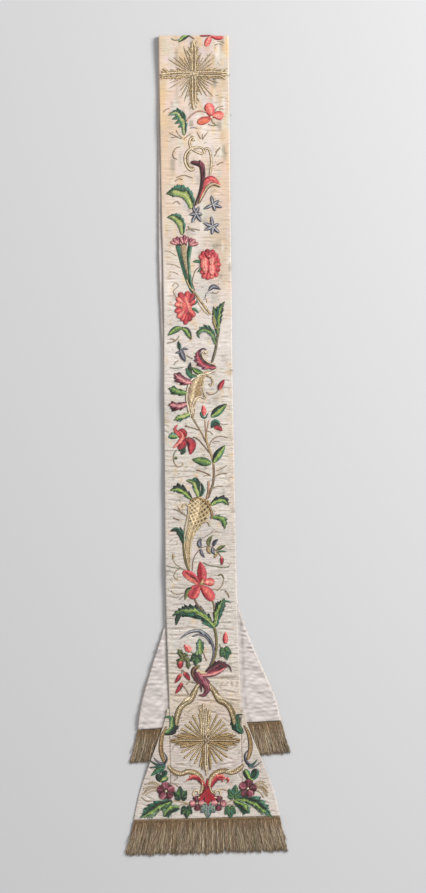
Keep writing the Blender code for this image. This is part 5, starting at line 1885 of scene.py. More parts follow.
# The upright arm is laid in lighter gold than the cross arms, as painted light that it catches.
FRONT_CROSS_LINES = (
    *alike(
        "stem", "gold under", (6.4, 205.3, 764, 205.2, 740, 205, 714),
        (5.6, 176, 740, 205, 740, 235, 740),
    ),
    sewn("cord", "gilt", 1.8, 201.2, 735, 201.2, 725, 200.9, 714, 201.4, 706.5),
    *alike(
        "cord", "gilt light", (1.8, 203.2, 736, 203.1, 725, 202.9, 714, 203.6, 702.5),
        (1.7, 205.1, 736, 205, 725, 204.8, 715, 205.4, 709),
        (1.8, 207, 736, 206.8, 725, 206.7, 713, 207.8, 706.5),
    ),
    sewn("cord", "gilt", 1.7, 208.9, 735, 208.7, 725, 208.6, 716, 209.4, 709.5),
    *alike(
        "ray", "gilt", (2.2, 201.6, 714, 200.8, 710.5, 199.2, 706.8),
        (2, 208.6, 716, 210, 712, 211.2, 709.5),
    ),
    sewn("cord", "brown gilt", 1.8, 203, 744, 202.9, 752, 202.8, 760, 202.4, 769.5),
    *alike(
        "cord", "gilt light", (1.8, 205.3, 743, 205.2, 752, 205.1, 761, 205.5, 768),
        (1.7, 207.5, 743, 207.5, 752, 207.3, 761, 206.5, 775.5),
    ),
    sewn("cord", "brown gilt", 1.8, 209.7, 744, 209.8, 752, 209.8, 760, 210.4, 769.8),
    sewn("bud", "gilt light", 3.6, 206, 765, 206.1, 771),
    sewn("cord", "brown gilt", 1.8, 204, 738, 192, 737.8, 181, 738.2, 170.5, 739.6),
    sewn("cord", "gilt", 1.2, 204, 740, 192, 740, 183, 740, 174.5, 740.2),
    *alike(
        "cord", "brown gilt", (2, 204, 742, 192, 742.2, 181, 742, 170.5, 741),
        (1.8, 209, 738, 220, 737.8, 231, 738.2, 240.5, 739.4),
    ),
    sewn("cord", "gilt", 1.2, 208, 740, 218, 740, 228, 740, 236.5, 740.2),
    sewn("cord", "brown gilt", 2, 209, 742, 220, 742.2, 231, 742, 240.5, 740.8),
    *alike(
        "ray", "brown gilt", (2.4, 190, 738, 182, 736.8, 173.6, 734.8),
        (2.6, 199, 738, 190, 735.6, 180.5, 732), (2.4, 191, 742, 183, 743.4, 174.5, 743.8),
        (2.6, 199, 742, 190, 744.8, 180, 747.6), (2.6, 212, 738, 220, 735.6, 228.5, 732.4),
        (2.4, 221, 738, 229, 736.6, 237, 734.6), (2.4, 221, 742, 229, 743.4, 237.5, 744.2),
        (2.6, 212, 742, 220, 745, 229.5, 747.6),
    ),
)
# The knots on the arches and sweeps are pale patches where the scrolls catch the light: painted highlights.
FRAME_CORDS = {
    "frame_arch_left": (
        sewn("stem", "olive gilt", 4, 199.6, 683.5, 197.2, 686.2, 195, 690.5),
        sewn("bud", "knot", 3.8, 190.8, 696.6, 186.6, 699.4, 182.4, 702.2),
    ),
    "frame_arch_right": (
        sewn("stem", "olive gilt", 4, 208.4, 683.5, 210.4, 686.2, 212.2, 690.5),
        sewn("bud", "knot", 4.2, 214.8, 692, 218.6, 696.4, 224, 699.2),
    ),
    "frame_sweep_left": (Motif("bud", "knot", 2.8, ((184.5, 772.2), (188.0, 770.9), (192.5, 771.0))),),
    "frame_sweep_right": (Motif("bud", "knot", 2.8, ((226.5, 770.6), (230.6, 770.0), (234.6, 769.4))),),
}


class Cross(NamedTuple):
    """A gold cross.

    It says how far down its middle is, its cord lines, and the silk, reach and width of its rays."""

    down: float
    lines: tuple
    silk: str
    reach: float
    ray_wide: float
    middle_wide: float
    ray_cut: str
    rays: int
    uneven: float
    barb: str


FRAME = (("arch", ARCH, "olive gilt"), ("side", SIDE_SCROLL, "brown gilt"), ("sweep", SWEEP, "sweep gilt"))
CROSSES = {
    "neck": Cross(0.0500, NECK_CROSS_LINES, "ray pale", 0.0385, 1.5, 4.6, "ray", 8, 0.34, "tan gilt"),
    "front": Cross(0.9150, FRONT_CROSS_LINES, "ray gilt", 0.0370, 1.9, 2.4, "cord", 6, 0.12, "gilt dark"),
}
print("gold tables for", 6 + len(CROSSES) + 2, "pieces")

# %% [markdown]
# Couching shows as rows of cord across a scroll, tied down in a brick pattern.
# The relief functions below change a blade's height and colours, given the place along and across it.

# %% Gold work
GOLD_LIFT = 0.0004
CORE_LIFT = 0.0002
ARM_LIFT = 0.0003
CORD_LIFT = 0.0004
MIDDLE_LIFT = 0.0007
TIE_PITCH = 2.6
RIM_START = 0.86
RIM_WIDE = 0.10
CORD_PITCH = 1.15
NET_PITCH = 2.5
NET_END = 26
NET_FADE = 12
TAIL_PITCH = 1.5
LATTICE_PITCH = 2.2
RAY_START = 0.0052
CORE_RAYS = 16
CORE_START = 0.0012
CORE_REACH = 0.0078
CORE_WIDE = 1.3
BARB_TURN = 30
BARB_LONG = 5.4
BARB_WIDE = 0.9
SCROLL_SWELL = 1.22
LOBE_LONG = 3.4


def on_pattern(down, across):
    """The place on the ruled pattern, in squares, of a place on the front tail."""
    x, y = spot(FRONT, np.float64(down), np.float64(across))
    return float(x) / SQUARE + RULED_MIDDLE, (CROWN_Y - float(y)) / SQUARE + RULED_TOP


def couched(along, across, v, rise, colours):
    """Rows of cord along a scroll, tied down like bricks, with a darker edge and painted light and shade."""
    cord = np.abs(np.sin(np.pi * (across / CORD_PITCH + 0.5)))
    row = np.floor(across / CORD_PITCH + 0.5)
    tie = np.clip(np.sin(2 * np.pi * (along / TIE_PITCH + 0.5 * row)) * 4 - 2.4, 0, 1)
    painted_glint = np.sin(2.9 * along + 5.1 * across) * np.sin(1.7 * along - 3.3 * across)
    # Each cord is painted lighter on its crown and darker between rows, with painted glints.
    shine = (0.72 + 0.46 * cord - 0.34 * tie - 0.36 * (np.abs(v) > 0.76) + 0.34 * painted_glint)[..., None]
    return rise * (0.72 + 0.28 * cord - 0.18 * tie), colours * np.maximum(shine, 0.15)


def netted(along, across, v, rise, colours):
    """A slanting net of gold cord over a darker ground, with a raised rim, and cords along its tail."""
    one = np.abs(np.sin(np.pi * (along + across) / (2 * NET_PITCH)))
    two = np.abs(np.sin(np.pi * (along - across) / (2 * NET_PITCH)))
    net = np.clip((1 - np.minimum(one, two) / 0.66) * 1.8, 0, 1)
    tail = ease((along - NET_END) / NET_FADE)
    strings = np.abs(np.sin(np.pi * (across / TAIL_PITCH + 0.5))) ** 1.5
    rim = np.clip((np.abs(v) - RIM_START) / RIM_WIDE, 0, 1)
    cord = np.maximum(net * (1 - tail) + strings * tail, rim)
    # The cords are painted lighter on their crowns: painted highlight.
    pale = LINEAR_THREADS["gold pale"] * (0.75 + 0.25 * cord[..., None])
    share = (0.9 * cord)[..., None]
    return rise * (0.62 + 0.38 * cord), colours * (1 - share) + pale * share


def latticed(along, across, v, rise, colours):
    """Thin brown lines crossing on a paler ground, with a raised rim."""
    one = np.abs(np.sin(np.pi * (along + across) / (2 * LATTICE_PITCH)))
    two = np.abs(np.sin(np.pi * (along - across) / (2 * LATTICE_PITCH)))
    line = np.clip(1.4 - np.minimum(one, two) / 0.30, 0, 1)
    rim = np.clip((np.abs(v) - RIM_START) / RIM_WIDE, 0, 1)
    brown = LINEAR_THREADS["bark"] * np.ones_like(colours)
    share = (0.75 * line * (1 - rim))[..., None]
    rimmed = colours * (1 - rim[..., None]) + LINEAR_THREADS["cream"] * rim[..., None]
    return rise * (0.80 + 0.20 * rim - 0.25 * line), rimmed * (1 - share) + brown * share


def scroll_path(turns, side=1):
    """A scroll's line on the ruled pattern, with its widths, all in squares."""
    return tuple((*on_pattern(t.down, side * t.across), t.wide / SQUARE) for t in turns)


def lobes_of(turns):
    """How many lobes fit along a scroll's edge."""
    steps_along = [math.dist(a[:2], b[:2]) for a, b in zip(turns, turns[1:])]
    return round(sum(steps_along) / SQUARE / LOBE_LONG)


def gold_piece(name, pad):
    piece = shape_from(pad, name, GOLD)
    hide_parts(name)
    return piece


def gold_scroll(name, turns, side, silk="gilt", relief=couched, cut="ribbon", cords=()):
    """A couched scroll with cords on top of it."""
    pad = []
    share = SCROLL_SWELL if cut == "ribbon" else 1
    swollen = [(x, y, wide * share) for x, y, wide in scroll_path(turns, side)]
    teeth = lobes_of(turns) if cut == "ribbon" else 0
    blade(pad, swollen, 1.0, cut, silk, GOLD_LIFT, teeth, flip=side < 0, relief=relief)
    for turn, row in enumerate(cords):
        blade(pad, row.path, row.wide, row.cut, row.silk, GOLD_LIFT + CORD_LIFT + turn * LIFT_STEP)
    return gold_piece(name, pad)


def barbs(pad, path, count, silk, lift):
    """Short barbs on both sides of a cord, slanting towards its tip."""
    line, length = smooth_line(path, 1.0)
    start = line[0] * 0.72 + line[-1] * 0.28
    for k in range(count):
        at = line[int(len(line) * (0.30 + 0.66 * (k + 0.5) / count))]
        ahead = (line[-1] - line[0]) / length
        for side in (-1, 1):
            turn = side * math.radians(BARB_TURN + 9 * math.sin(3.1 * k + side + start[0]))
            long = BARB_LONG * (0.8 + 0.3 * math.sin(2.3 * k + 1.7 * side + start[1]))
            x = ahead[0] * math.cos(turn) - ahead[1] * math.sin(turn)
            y = ahead[0] * math.sin(turn) + ahead[1] * math.cos(turn)
            tip = (at[0] + x * long, at[1] + y * long)
            blade(pad, (tuple(at[:2]), tip), BARB_WIDE, "ray", silk, lift)


def gold_cross(name, cross):
    """Rays that spread from the middle of a cross, then its arms of cord with barbs."""
    pad = []
    middle = on_pattern(cross.down, 0.0)

    def spoke(angle, start, end, wide=1.0):
        radii = (start, (start + end) / 2, end)
        places = [on_pattern(cross.down - r * math.sin(angle), r * math.cos(angle)) for r in radii]
        return [(*place, wide * share) for place, share in zip(places, (0.5, 1.0, 1.1))]

    for quarter in range(4):
        for k in range(cross.rays):
            angle = math.pi / 2 * (quarter + (k + 1.0) / (cross.rays + 1))
            share = 1.0 - cross.uneven * ((3 * k + quarter) % 4) / 3
            ray = spoke(angle, RAY_START, cross.reach * share, cross.ray_wide)
            blade(pad, ray, 1.0, cross.ray_cut, cross.silk, GOLD_LIFT + k * LIFT_STEP)
    for k in range(CORE_RAYS):
        angle = 2 * math.pi * (k + 0.4) / CORE_RAYS
        core = spoke(angle, CORE_START, CORE_REACH * (0.8 + 0.3 * math.sin(2.7 * k)), CORE_WIDE)
        blade(pad, core, 1.0, "ray", "gilt light", GOLD_LIFT + CORE_LIFT)
    for turn, row in enumerate(cross.lines):
        lift = GOLD_LIFT + ARM_LIFT + turn * LIFT_STEP
        blade(pad, row.path, row.wide, row.cut, row.silk, lift)
        if row.teeth:
            barbs(pad, row.path, row.teeth, cross.barb, lift)
    x, y = middle
    wide = cross.middle_wide
    path = ((x - wide / 2, y), (x, y), (x + wide / 2, y))
    blade(pad, path, wide, "bud", "gilt light", GOLD_LIFT + MIDDLE_LIFT)
    return gold_piece(name, pad)


gold = []
for side, word in ((-1, "left"), (1, "right")):
    for part, turns, silk in FRAME:
        name = f"frame_{part}_{word}"
        gold.append(gold_scroll(name, turns, side, silk, cords=FRAME_CORDS.get(name, ())))
gold.append(gold_scroll("gold_shell", SHELL, 1, "shell ground", latticed, "panel", SHELL_CORDS))
gold.append(gold_scroll("gold_horn", HORN, 1, "horn ground", netted, "panel", HORN_CORDS))
gold += [gold_cross(f"cross_{name}", row) for name, row in CROSSES.items()]
print(sum(map(triangles, gold)), "triangles of gold work")

# %% [markdown]
# Fine hand stitches close the seams of the front gores. They cross each seam at a slant.
# Faint stray stitches are strewn over the bare ground, where small sprigs have worn away.

# %% Seam stitches
STITCH_STEP = 2.2
STITCH_HALF = 1.0
STRAYS = 260
STRAY_SEED = 31
STRAY_TOP, STRAY_END = 44, 812
SEAM_SEED = 5
STRAY_SILKS = ("stray", "stray", "stray green")


def seam_stitches():
    pad = []
    chance = np.random.default_rng(SEAM_SEED)
    seams = []
    for side in (-1, 1):
        top = FRONT_LENGTH - FRONT.gore_height + 0.004
        downs = np.arange(top, FRONT_LENGTH - 0.002, STITCH_STEP * SQUARE)
        seams += [on_pattern(d, side * (band_half(FRONT, d) + SEAM_GAP / 2)) for d in downs]
    for x, y in seams:
        lean = chance.uniform(-0.35, 0.35)
        path = ((x - STITCH_HALF, y - 0.3 - lean), (x, y), (x + STITCH_HALF, y + 0.3 + lean))
        blade(pad, path, 0.42, "stem", "seam thread")
    return shape_from(pad, "seam_stitches", STITCHES)


def stray_stitches():
    """Short faint stitches strewn over the ground, what is left of worn sprigs."""
    pad = []
    chance = np.random.default_rng(STRAY_SEED)
    for _ in range(STRAYS):
        y = chance.uniform(STRAY_TOP, STRAY_END)
        x = GROUND_MIDDLE + chance.uniform(-1, 1) * ground_reach(y, 32, 30)
        turn = chance.normal(0, 0.7)
        half = chance.uniform(0.9, 2.6)
        bow = chance.uniform(-0.5, 0.5)
        along = (half * math.cos(turn), half * math.sin(turn))
        middle = (x - bow * math.sin(turn), y + bow * math.cos(turn))
        path = ((x - along[0], y - along[1]), middle, (x + along[0], y + along[1]))
        taken = cover[cover_cells(*map(np.array, ruled(x, y)))]
        if not taken:
            wide = chance.uniform(0.45, 0.7)
            blade(pad, path, wide, "stem", STRAY_SILKS[int(chance.integers(len(STRAY_SILKS)))])
    return shape_from(pad, "stray_stitches", STITCHES)


stitches = seam_stitches()
strays = stray_stitches()
soften_cover()
print(triangles(stitches), "triangles of stitches, and the cover is blurred")

# %% [markdown]
# The cloth is made as closed shells. A grid is extruded once, and its two layers are moved onto
# the outer and the inner surface, each a numpy function of a row's value and a share across.
# The columns stand closer near the edges, which are rolled over a little.

# %% Cloth shells
ROLL = 0.00035


def edge_columns(count, power=1.35):
    """Shares from -1 to 1, closer together towards both edges."""
    even = np.linspace(-1, 1, count + 1)
    return np.sign(even) * (1 - (1 - np.abs(even)) ** power)


def steps(start, end, longest):
    count = math.ceil(abs(end - start) / longest)
    return np.linspace(start, end, count + 1)


def rolled(row, share, rows):
    """How far an edge point is rolled over, in metres."""
    at_edge = (np.abs(share) > 0.9999) | (row == rows[0]) | (row == rows[-1])
    return np.where(at_edge, ROLL, 0.0)


def shell(name, material, rows, columns, outer, inner, dye_and_painted_shading):
    """A closed shell of cloth, whose dye, painted shading and wear are a function of the places on it."""
    bm = bmesh.new()
    bmesh.ops.create_grid(bm, x_segments=len(columns) - 1, y_segments=len(rows) - 1, size=1)
    first = len(bm.verts)
    bmesh.ops.extrude_face_region(bm, geom=bm.faces[:])
    mesh = bpy.data.meshes.new(name)
    bm.to_mesh(mesh)
    bm.free()
    grid = points_of(mesh)
    share = columns[np.rint((grid[:, 0] + 1) / 2 * (len(columns) - 1)).astype(int)]
    row = rows[np.rint((1 - grid[:, 1]) / 2 * (len(rows) - 1)).astype(int)]
    is_outer = np.arange(len(grid)) < first
    places = np.empty_like(grid)
    edge = rolled(row, share, rows)
    places[is_outer] = outer(row[is_outer], share[is_outer], edge[is_outer])
    places[~is_outer] = inner(row[~is_outer], share[~is_outer], edge[~is_outer])
    mesh.vertices.foreach_set("co", places.ravel())
    paint = mesh.attributes.new("dye_and_painted_shading", "FLOAT_COLOR", "POINT")
    paint.data.foreach_set("color", dye_and_painted_shading(places).ravel())
    bm = bmesh.new()
    bm.from_mesh(mesh)
    bmesh.ops.recalc_face_normals(bm, faces=bm.faces[:])
    bm.to_mesh(mesh)
    bm.free()
    piece = shape_of(mesh, material)
    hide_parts(name)
    print(name, triangles(piece), "triangles")
    return piece


# %% [markdown]
# The silk's dye is not even. It is warm and stained near the neck and greyer further down.
# The creases carry painted shade in their bottoms and painted light on their shoulders.
# The lining has a painted shadow beside the front tail's left edge and painted sheen streaks.

# %% Dye and painted shading


class Tone(NamedTuple):
    """The ground's colour at a height on the ruled pattern."""

    y: float
    red: float
    green: float
    blue: float


TONES = (
    Tone(36, 220, 199, 179),
    Tone(110, 220, 201, 183),
    Tone(180, 219, 202, 187),
    Tone(260, 218, 205, 193),
    Tone(350, 218, 208, 199),
    Tone(420, 214, 205, 194),
    Tone(480, 210, 200, 189),
    Tone(560, 212, 202, 192),
    Tone(640, 212, 203, 193),
    Tone(700, 210, 197, 182),
    Tone(780, 214, 202, 193),
    Tone(818, 212, 202, 191),
)


class Stain(NamedTuple):
    """A soft stain on the ground, with its middle and reach in squares."""

    x: float
    y: float
    wide: float
    high: float
    strength: float
    colour: str = "peach"


STAIN_COLOURS = {
    "grey": (150, 141, 128),
    "peach": (214, 180, 146),
    "tan": (204, 178, 142),
    "pink": (228, 200, 190),
    "ash": (196, 192, 190),
    "pale": (238, 229, 222),
    "lilac": (224, 206, 208),
    "mint": (214, 214, 196),
    "ochre": (226, 190, 142),
}
STAINS = tuple(Stain(*row) for row in (
    (166, 150, 9, 75, 0.45), (222, 240, 8, 60, 0.45), (190, 60, 30, 24, 0.2), (214, 150, 12, 30, 0.2),
    (176, 235, 9, 30, 0.25), (232, 470, 5, 60, 0.2), (206, 706, 40, 14, 0.25),
    (163.5, 86, 3.5, 16, 0.55, "tan"), (162.5, 46, 4, 9, 0.45, "tan"), (218, 52, 9, 12, 0.5, "pale"),
    (206, 136, 16, 12, 0.45, "pale"), (192, 121, 5, 8, 0.4, "pink"), (178, 96, 6, 18, 0.35, "pink"),
    (170, 118, 5, 14, 0.3, "tan"), (201, 240, 12, 14, 0.35, "pale"), (170, 300, 8, 12, 0.35, "pale"),
    (206, 296, 14, 14, 0.45, "ash"), (174, 352, 10, 14, 0.35, "pale"), (172, 412, 9, 7, 0.35, "ash"),
    (200, 532, 9, 14, 0.35, "ash"), (190, 606, 16, 10, 0.3, "ash"), (162.5, 98, 3.4, 12, 0.6, "ochre"),
    (164, 120, 4, 9, 0.4, "ochre"), (166, 47, 4, 8, 0.45, "mint"), (178, 52, 5, 9, 0.5, "pale"),
    (172, 62, 3, 12, 0.4, "ash"), (209, 54, 5, 8, 0.45, "lilac"), (222, 62, 5, 9, 0.35, "ash"),
    (200, 101, 5, 8, 0.45, "mint"), (190, 118, 6, 9, 0.45, "lilac"), (176, 100, 6, 7, 0.45, "pink"),
    (186, 92, 3, 9, 0.45, "pale"), (216, 92, 5, 12, 0.35, "mint"), (224, 100, 3.5, 10, 0.45, "pale"),
    (170, 84, 4, 7, 0.45, "pale"), (224, 128, 4, 16, 0.4, "ochre"), (225, 175, 4, 26, 0.4, "peach"),
    (212, 222, 10, 10, 0.3, "mint"), (215, 241, 12, 8, 0.3, "tan"), (214, 72, 17, 60, 0.16, "grey"),
    (216, 245, 17, 42, 0.17, "grey"), (204, 745, 60, 42, 0.11, "grey"), (206, 697, 15, 5, 0.3, "lilac"),
    (221, 715, 10, 7, 0.25, "lilac"), (181, 745, 8, 9, 0.22, "lilac"), (230, 762, 14, 6, 0.25, "lilac"),
    (226, 693, 12, 6, 0.22, "pale"), (176, 706, 7, 8, 0.22, "pale"), (200, 602, 40, 26, 0.09, "grey"),
    (200, 482, 40, 34, 0.2, "pale"), (219, 93, 8, 12, 0.3, "tan"), (222, 200, 5, 10, 0.35, "pink"),
    (172, 222, 5, 9, 0.35, "mint"), (184, 250, 16, 9, 0.25, "mint"), (172, 196, 6, 8, 0.3, "pale"),
))
PATCHES = 900
PATCH_SEED = 23


def strew_patches():
    """Small worn patches, taller and stronger towards the neck."""
    chance = np.random.default_rng(PATCH_SEED)
    names = list(STAIN_COLOURS)
    made = []
    for _ in range(PATCHES):
        y = 36 + 782 * chance.uniform(0, 1) ** 1.25
        x = GROUND_MIDDLE + chance.uniform(-1, 1) * ground_reach(y, 34, 34)
        near_neck = max(0.0, 1 - y / 420)
        wide = chance.uniform(1.0, 3.0)
        high = chance.uniform(1.2, 3.6) * (1 + 2.2 * near_neck)
        strength = chance.uniform(0.20, 0.50) * (1 + 0.7 * near_neck)
        made.append(Stain(x, y, wide, high, strength, names[int(chance.integers(len(names)))]))
    return tuple(made)


# Painted shade: how much a crease bottom darkens the ground colour, in red, green and blue.
CREASE_PAINTED_SHADE = np.array([0.38, 0.43, 0.48])
NECK_WEAR = 0.35
WEAR_START = 240
WEAR_REACH = 220
LINING_WEAR = 0.15
LINING_DYE = (206, 197, 193)
# Painted shadow of the front tail on the lining: its strength and its reach from the edge.
LINING_PAINTED_SHADOW = 0.20
LINING_PAINTED_SHADOW_REACH = 0.011
# Strength of the painted sheen streaks on the lining.
LINING_PAINTED_SHEEN = 0.14


def stained(x, y, colours):
    """Ground colours with the stains on them. Places are in squares."""
    for stain in STAINS + strew_patches():
        away = ((x - stain.x) / stain.wide) ** 4 + ((y - stain.y) / stain.high) ** 4
        pull = (stain.strength * np.exp(-away))[:, None]
        colours = colours * (1 - pull) + np.array(STAIN_COLOURS[stain.colour]) * pull
    return colours


def ivory_colour_and_crease_shade(places):
    """Colours of the embroidered face, with painted crease shade and light, and how worn it is."""
    x = places[:, 0] / SQUARE + RULED_MIDDLE
    y = (CROWN_Y - places[:, 1]) / SQUARE + RULED_TOP
    colours = np.stack([read(TONES, name, y) for name in ("red", "green", "blue")], 1)
    colours = stained(x, y, colours)
    dark = pucker(places[:, 0], places[:, 1])[1]
    wear = NECK_WEAR + (1 - NECK_WEAR) * ease((y - WEAR_START) / WEAR_REACH)
    # Painted shade darkens the crease bottoms and painted light lightens their shoulders.
    return np.c_[linear(colours) * (1 - CREASE_PAINTED_SHADE * dark[:, None]), wear]


def lining_colour_shadow_and_sheen(places):
    """The lining's pinkish white, with a painted shadow beside the front tail's left edge and painted sheen
    streaks.
    """
    down, across = find(FRONT, places[:, 0], places[:, 1])
    edge = band_half(FRONT, down) + flare_out(FRONT, down)
    # Painted shadow of the front tail, on the lining along its left edge.
    dull = LINING_PAINTED_SHADOW * (across < 0) * (1 - ease((-across - edge) / LINING_PAINTED_SHADOW_REACH))
    x, y = places[:, 0] / SQUARE, places[:, 1] / SQUARE
    # Painted sheen: wavy level streaks that lighten and darken the lining.
    streak = LINING_PAINTED_SHEEN * np.sin(y * 0.9 + 2.2 * np.sin(x * 0.21)) * np.sin(y * 0.23 + x * 0.31)
    return np.c_[linear(LINING_DYE) * (1 - dull + streak)[:, None], np.full(len(x), LINING_WEAR)]


print(len(TONES), "tones and", len(STAINS), "stains")

# %% [markdown]
# The front band runs from the neck seam to the hem. The back band starts at the same seam,
# turns round the fold and runs under everything, with its embroidered side down.
# Its surface is worked out from a run that is negative on top, an angle on the fold and positive below.

# %% Embroidered cloth
HIDDEN_SHIFT = 0.017
HIDDEN_SHARE = 0.6


def front_surface(down, share, lift):
    return face(down, share * band_half(FRONT, down), lift)


def front_inside(down, share, edge):
    """The plain inner side of the front tail, which the creases don't press through."""
    across = share * band_half(FRONT, down)
    x, y = spot(FRONT, down, across)
    return np.stack([x, y, face_top(down, across) - FACE_THICK + edge], 1)


def below(x, y, lift):
    """A point above the back tail's embroidered side, which faces the floor and has creases of its own."""
    high, _ = pucker(-x, y + HIDDEN_SHIFT)
    return np.stack([x, y, np.maximum(-HIDDEN_SHARE * high, 0) - lift], 1)


def back_surface(run, share, lift):
    """The back band's outer side, from the neck seam over the fold and under."""
    turn = math.pi * FOLD_RADIUS
    down = np.where(run <= 0, FOLD_RADIUS - run, FOLD_RADIUS + run - turn)
    top = face(down, share * band_half(FRONT, down), lift)
    angle = math.pi / 2 - run / FOLD_RADIUS
    tail_down = FOLD_RADIUS * (1 - np.cos(angle))
    radius = FOLD_RADIUS + lift
    half = np.where(angle > 0, band_half(FRONT, 0.0), band_half(BACK, 0.0))
    fold_x = read(FRONT.sections, "middle", tail_down) + share * half
    fold = np.stack([fold_x, FOLD_Y + radius * np.cos(angle), FOLD_RADIUS + radius * np.sin(angle)], 1)
    x, y = spot(BACK, down, share * band_half(BACK, down))
    flat = below(x, y, lift)
    on_fold = ((run > 0) & (run < turn))[:, None]
    return np.where(run[:, None] <= 0, top, np.where(on_fold, fold, flat))


FRONT_ROWS = steps(NECK_SEAM + SEAM_GAP / 2, FRONT_LENGTH, 0.00095)
band_front = shell(
    "band_front", GROUND, FRONT_ROWS, edge_columns(40),
    lambda down, share, edge: front_surface(down, share, -edge), front_inside, ivory_colour_and_crease_shade,
)
BACK_ROWS = np.concatenate([
    steps(FOLD_RADIUS - NECK_SEAM + SEAM_GAP / 2, 0, 0.0012)[:-1],
    steps(0, math.pi * FOLD_RADIUS, 0.0006)[:-1],
    steps(math.pi * FOLD_RADIUS, math.pi * FOLD_RADIUS + BACK_LENGTH - FOLD_RADIUS, 0.0025),
])
band_back = shell(
    "band_back", GROUND, BACK_ROWS, edge_columns(30),
    lambda run, share, edge: back_surface(run, share, -edge),
    lambda run, share, edge: back_surface(run, share, edge - FACE_THICK), ivory_colour_and_crease_shade,
)

# %% [markdown]
# The four gores are triangles beside the bands. The upper point of each is cut off at 1.6 mm.

# %% Gores


def gore_across(tail, side, down, share):
    inner = band_half(tail, down) + SEAM_GAP
    outer = band_half(tail, down) + np.maximum(flare_out(tail, down), GORE_POINT)
    return side * (inner + (outer - inner) * (share + 1) / 2)


def gore_front(side, word):
    def outer(down, share, edge):
        return face(down, gore_across(FRONT, side, down, share), -edge)

    def inner(down, share, edge):
        across = gore_across(FRONT, side, down, share)
        x, y = spot(FRONT, down, across)
        return np.stack([x, y, face_top(down, across) - FACE_THICK + edge], 1)

    rows = steps(FRONT_LENGTH - FRONT.gore_height, FRONT_LENGTH, 0.0013)
    name = f"gore_front_{word}"
    return shell(name, GROUND, rows, edge_columns(24), outer, inner, ivory_colour_and_crease_shade)


def gore_back(side, word):
    def at(down, share, lift):
        return below(*spot(BACK, down, gore_across(BACK, side, down, share)), lift)

    rows = steps(BACK_LENGTH - BACK.gore_height, BACK_LENGTH, 0.0025)
    return shell(
        f"gore_back_{word}", GROUND, rows, edge_columns(16),
        lambda down, share, edge: at(down, share, -edge),
        lambda down, share, edge: at(down, share, edge - FACE_THICK), ivory_colour_and_crease_shade,
    )


for side, word in ((-1, "left"), (1, "right")):
    gore_front(side, word)
    gore_back(side, word)

# %% [markdown]
# The back tail's lining shows beside the front tail. It is thin and slippery, and it has shrunk
# into level ripples that pull its outer edge into shallow scallops. Under the front tail it is flat.

# %% Lining
LINING_BASE = FACE_THICK + SEAM_GAP
RIPPLE_HIGH = 0.0019
BROAD_HIGH = 0.0013


def lining_ripple(x, y, down, across):
    """Height of the lining's ripples, which fade out towards the front tail's edge."""
    front_down, front_across = find(FRONT, x, y)
    edge = band_half(FRONT, front_down) + flare_out(FRONT, front_down)
    clear = ease((np.abs(front_across) - edge - 0.002) / 0.006)
    side = np.sign(across)
    half = band_half(BACK, down) + flare_out(BACK, down)
    near_edge = np.clip((np.abs(across) - (half - 0.034)) / 0.034, 0, 1)
    wave = np.sin(2 * np.pi * (down / 0.0076 + 0.8 * np.sin(down * 70 + side) + 6 * across * side))
    wave = wave + 0.6 * np.sin(2 * np.pi * (down / 0.0049 + 14 * across + 0.5 * np.sin(across * 160)))
    wave = wave * (0.55 + 0.45 * np.sin(down * 210 + across * 330) * np.sin(down * 83 - across * 190))
    broad = 0.5 + 0.5 * np.sin(down * 240 + 2.2 * np.sin(across * 130 + side) + across * 90)
    return clear * (RIPPLE_HIGH * (0.35 + 0.65 * near_edge) * (0.5 + 0.5 * wave) + BROAD_HIGH * broad)


def lining_at(down, share, base, edge):
    half = band_half(BACK, down) + flare_out(BACK, down) - LINING_INSET
    across = share * half
    x, y = spot(BACK, down, across)
    return np.stack([x, y, base + edge + lining_ripple(x, y, down, across)], 1)


def spread_columns(count, middle_share=0.10, middle_reach=0.48):
    """Shares from -1 to 1, coarse in the hidden middle and fine towards the edges."""
    even = np.linspace(-1, 1, count + 1)
    size = np.interp(np.abs(even), (0, middle_share, 1), (0, middle_reach, 1))
    return np.sign(even) * size


LINING_ROWS = np.concatenate([
    steps(LINING_TOP_END, 0.55, 0.006)[:-1],
    steps(0.55, 0.735, 0.0025)[:-1],
    steps(0.735, BACK_LENGTH - LINING_INSET, 0.0011),
])
lining_back = shell(
    "lining_back", LINING, LINING_ROWS, spread_columns(84),
    lambda down, share, edge: lining_at(down, share, LINING_BASE + LINING_THICK, -edge),
    lambda down, share, edge: lining_at(down, share, LINING_BASE, edge), lining_colour_shadow_and_sheen,
)

# %% [markdown]
# A fringe is a braided heading sewn past the hem, with some 1,500 loose strands.
# Each strand is a thin rolled grid. Neighbours lean together into clumps and end unevenly.

# %% Fringe
STRIP_DEEP = 0.0060
STRAND_ROOT = 0.12
FRINGE_SPREAD = 0.0110


class Fringe(NamedTuple):
    """A fringe: its tail, number of strands, mean length in metres and seed."""

    tail: Tail
    strands: int
    length: float
    seed: int


FRINGES = {
    "fringe_front": Fringe(FRONT, 1500, 0.0395, 3),
    "fringe_back": Fringe(BACK, 1400, 0.0365, 4),
}
STRAND_HALF = 0.00033
STRAND_ROWS = 10
CLUMPS = 95
CRIMP = 0.00032
ROOT_BROWN = np.array([0.12, 0.26, 0.40])
FRINGE_THREADS = ("dull", "dull pale", "dull", "dull brown", "dull green")
CORD_TWIST = 0.0016


class HeadingCord(NamedTuple):
    """A cord of a fringe's heading: where it starts and ends across the strip, its heights and colour."""

    start: float
    end: float
    low: float
    high: float
    thread: str


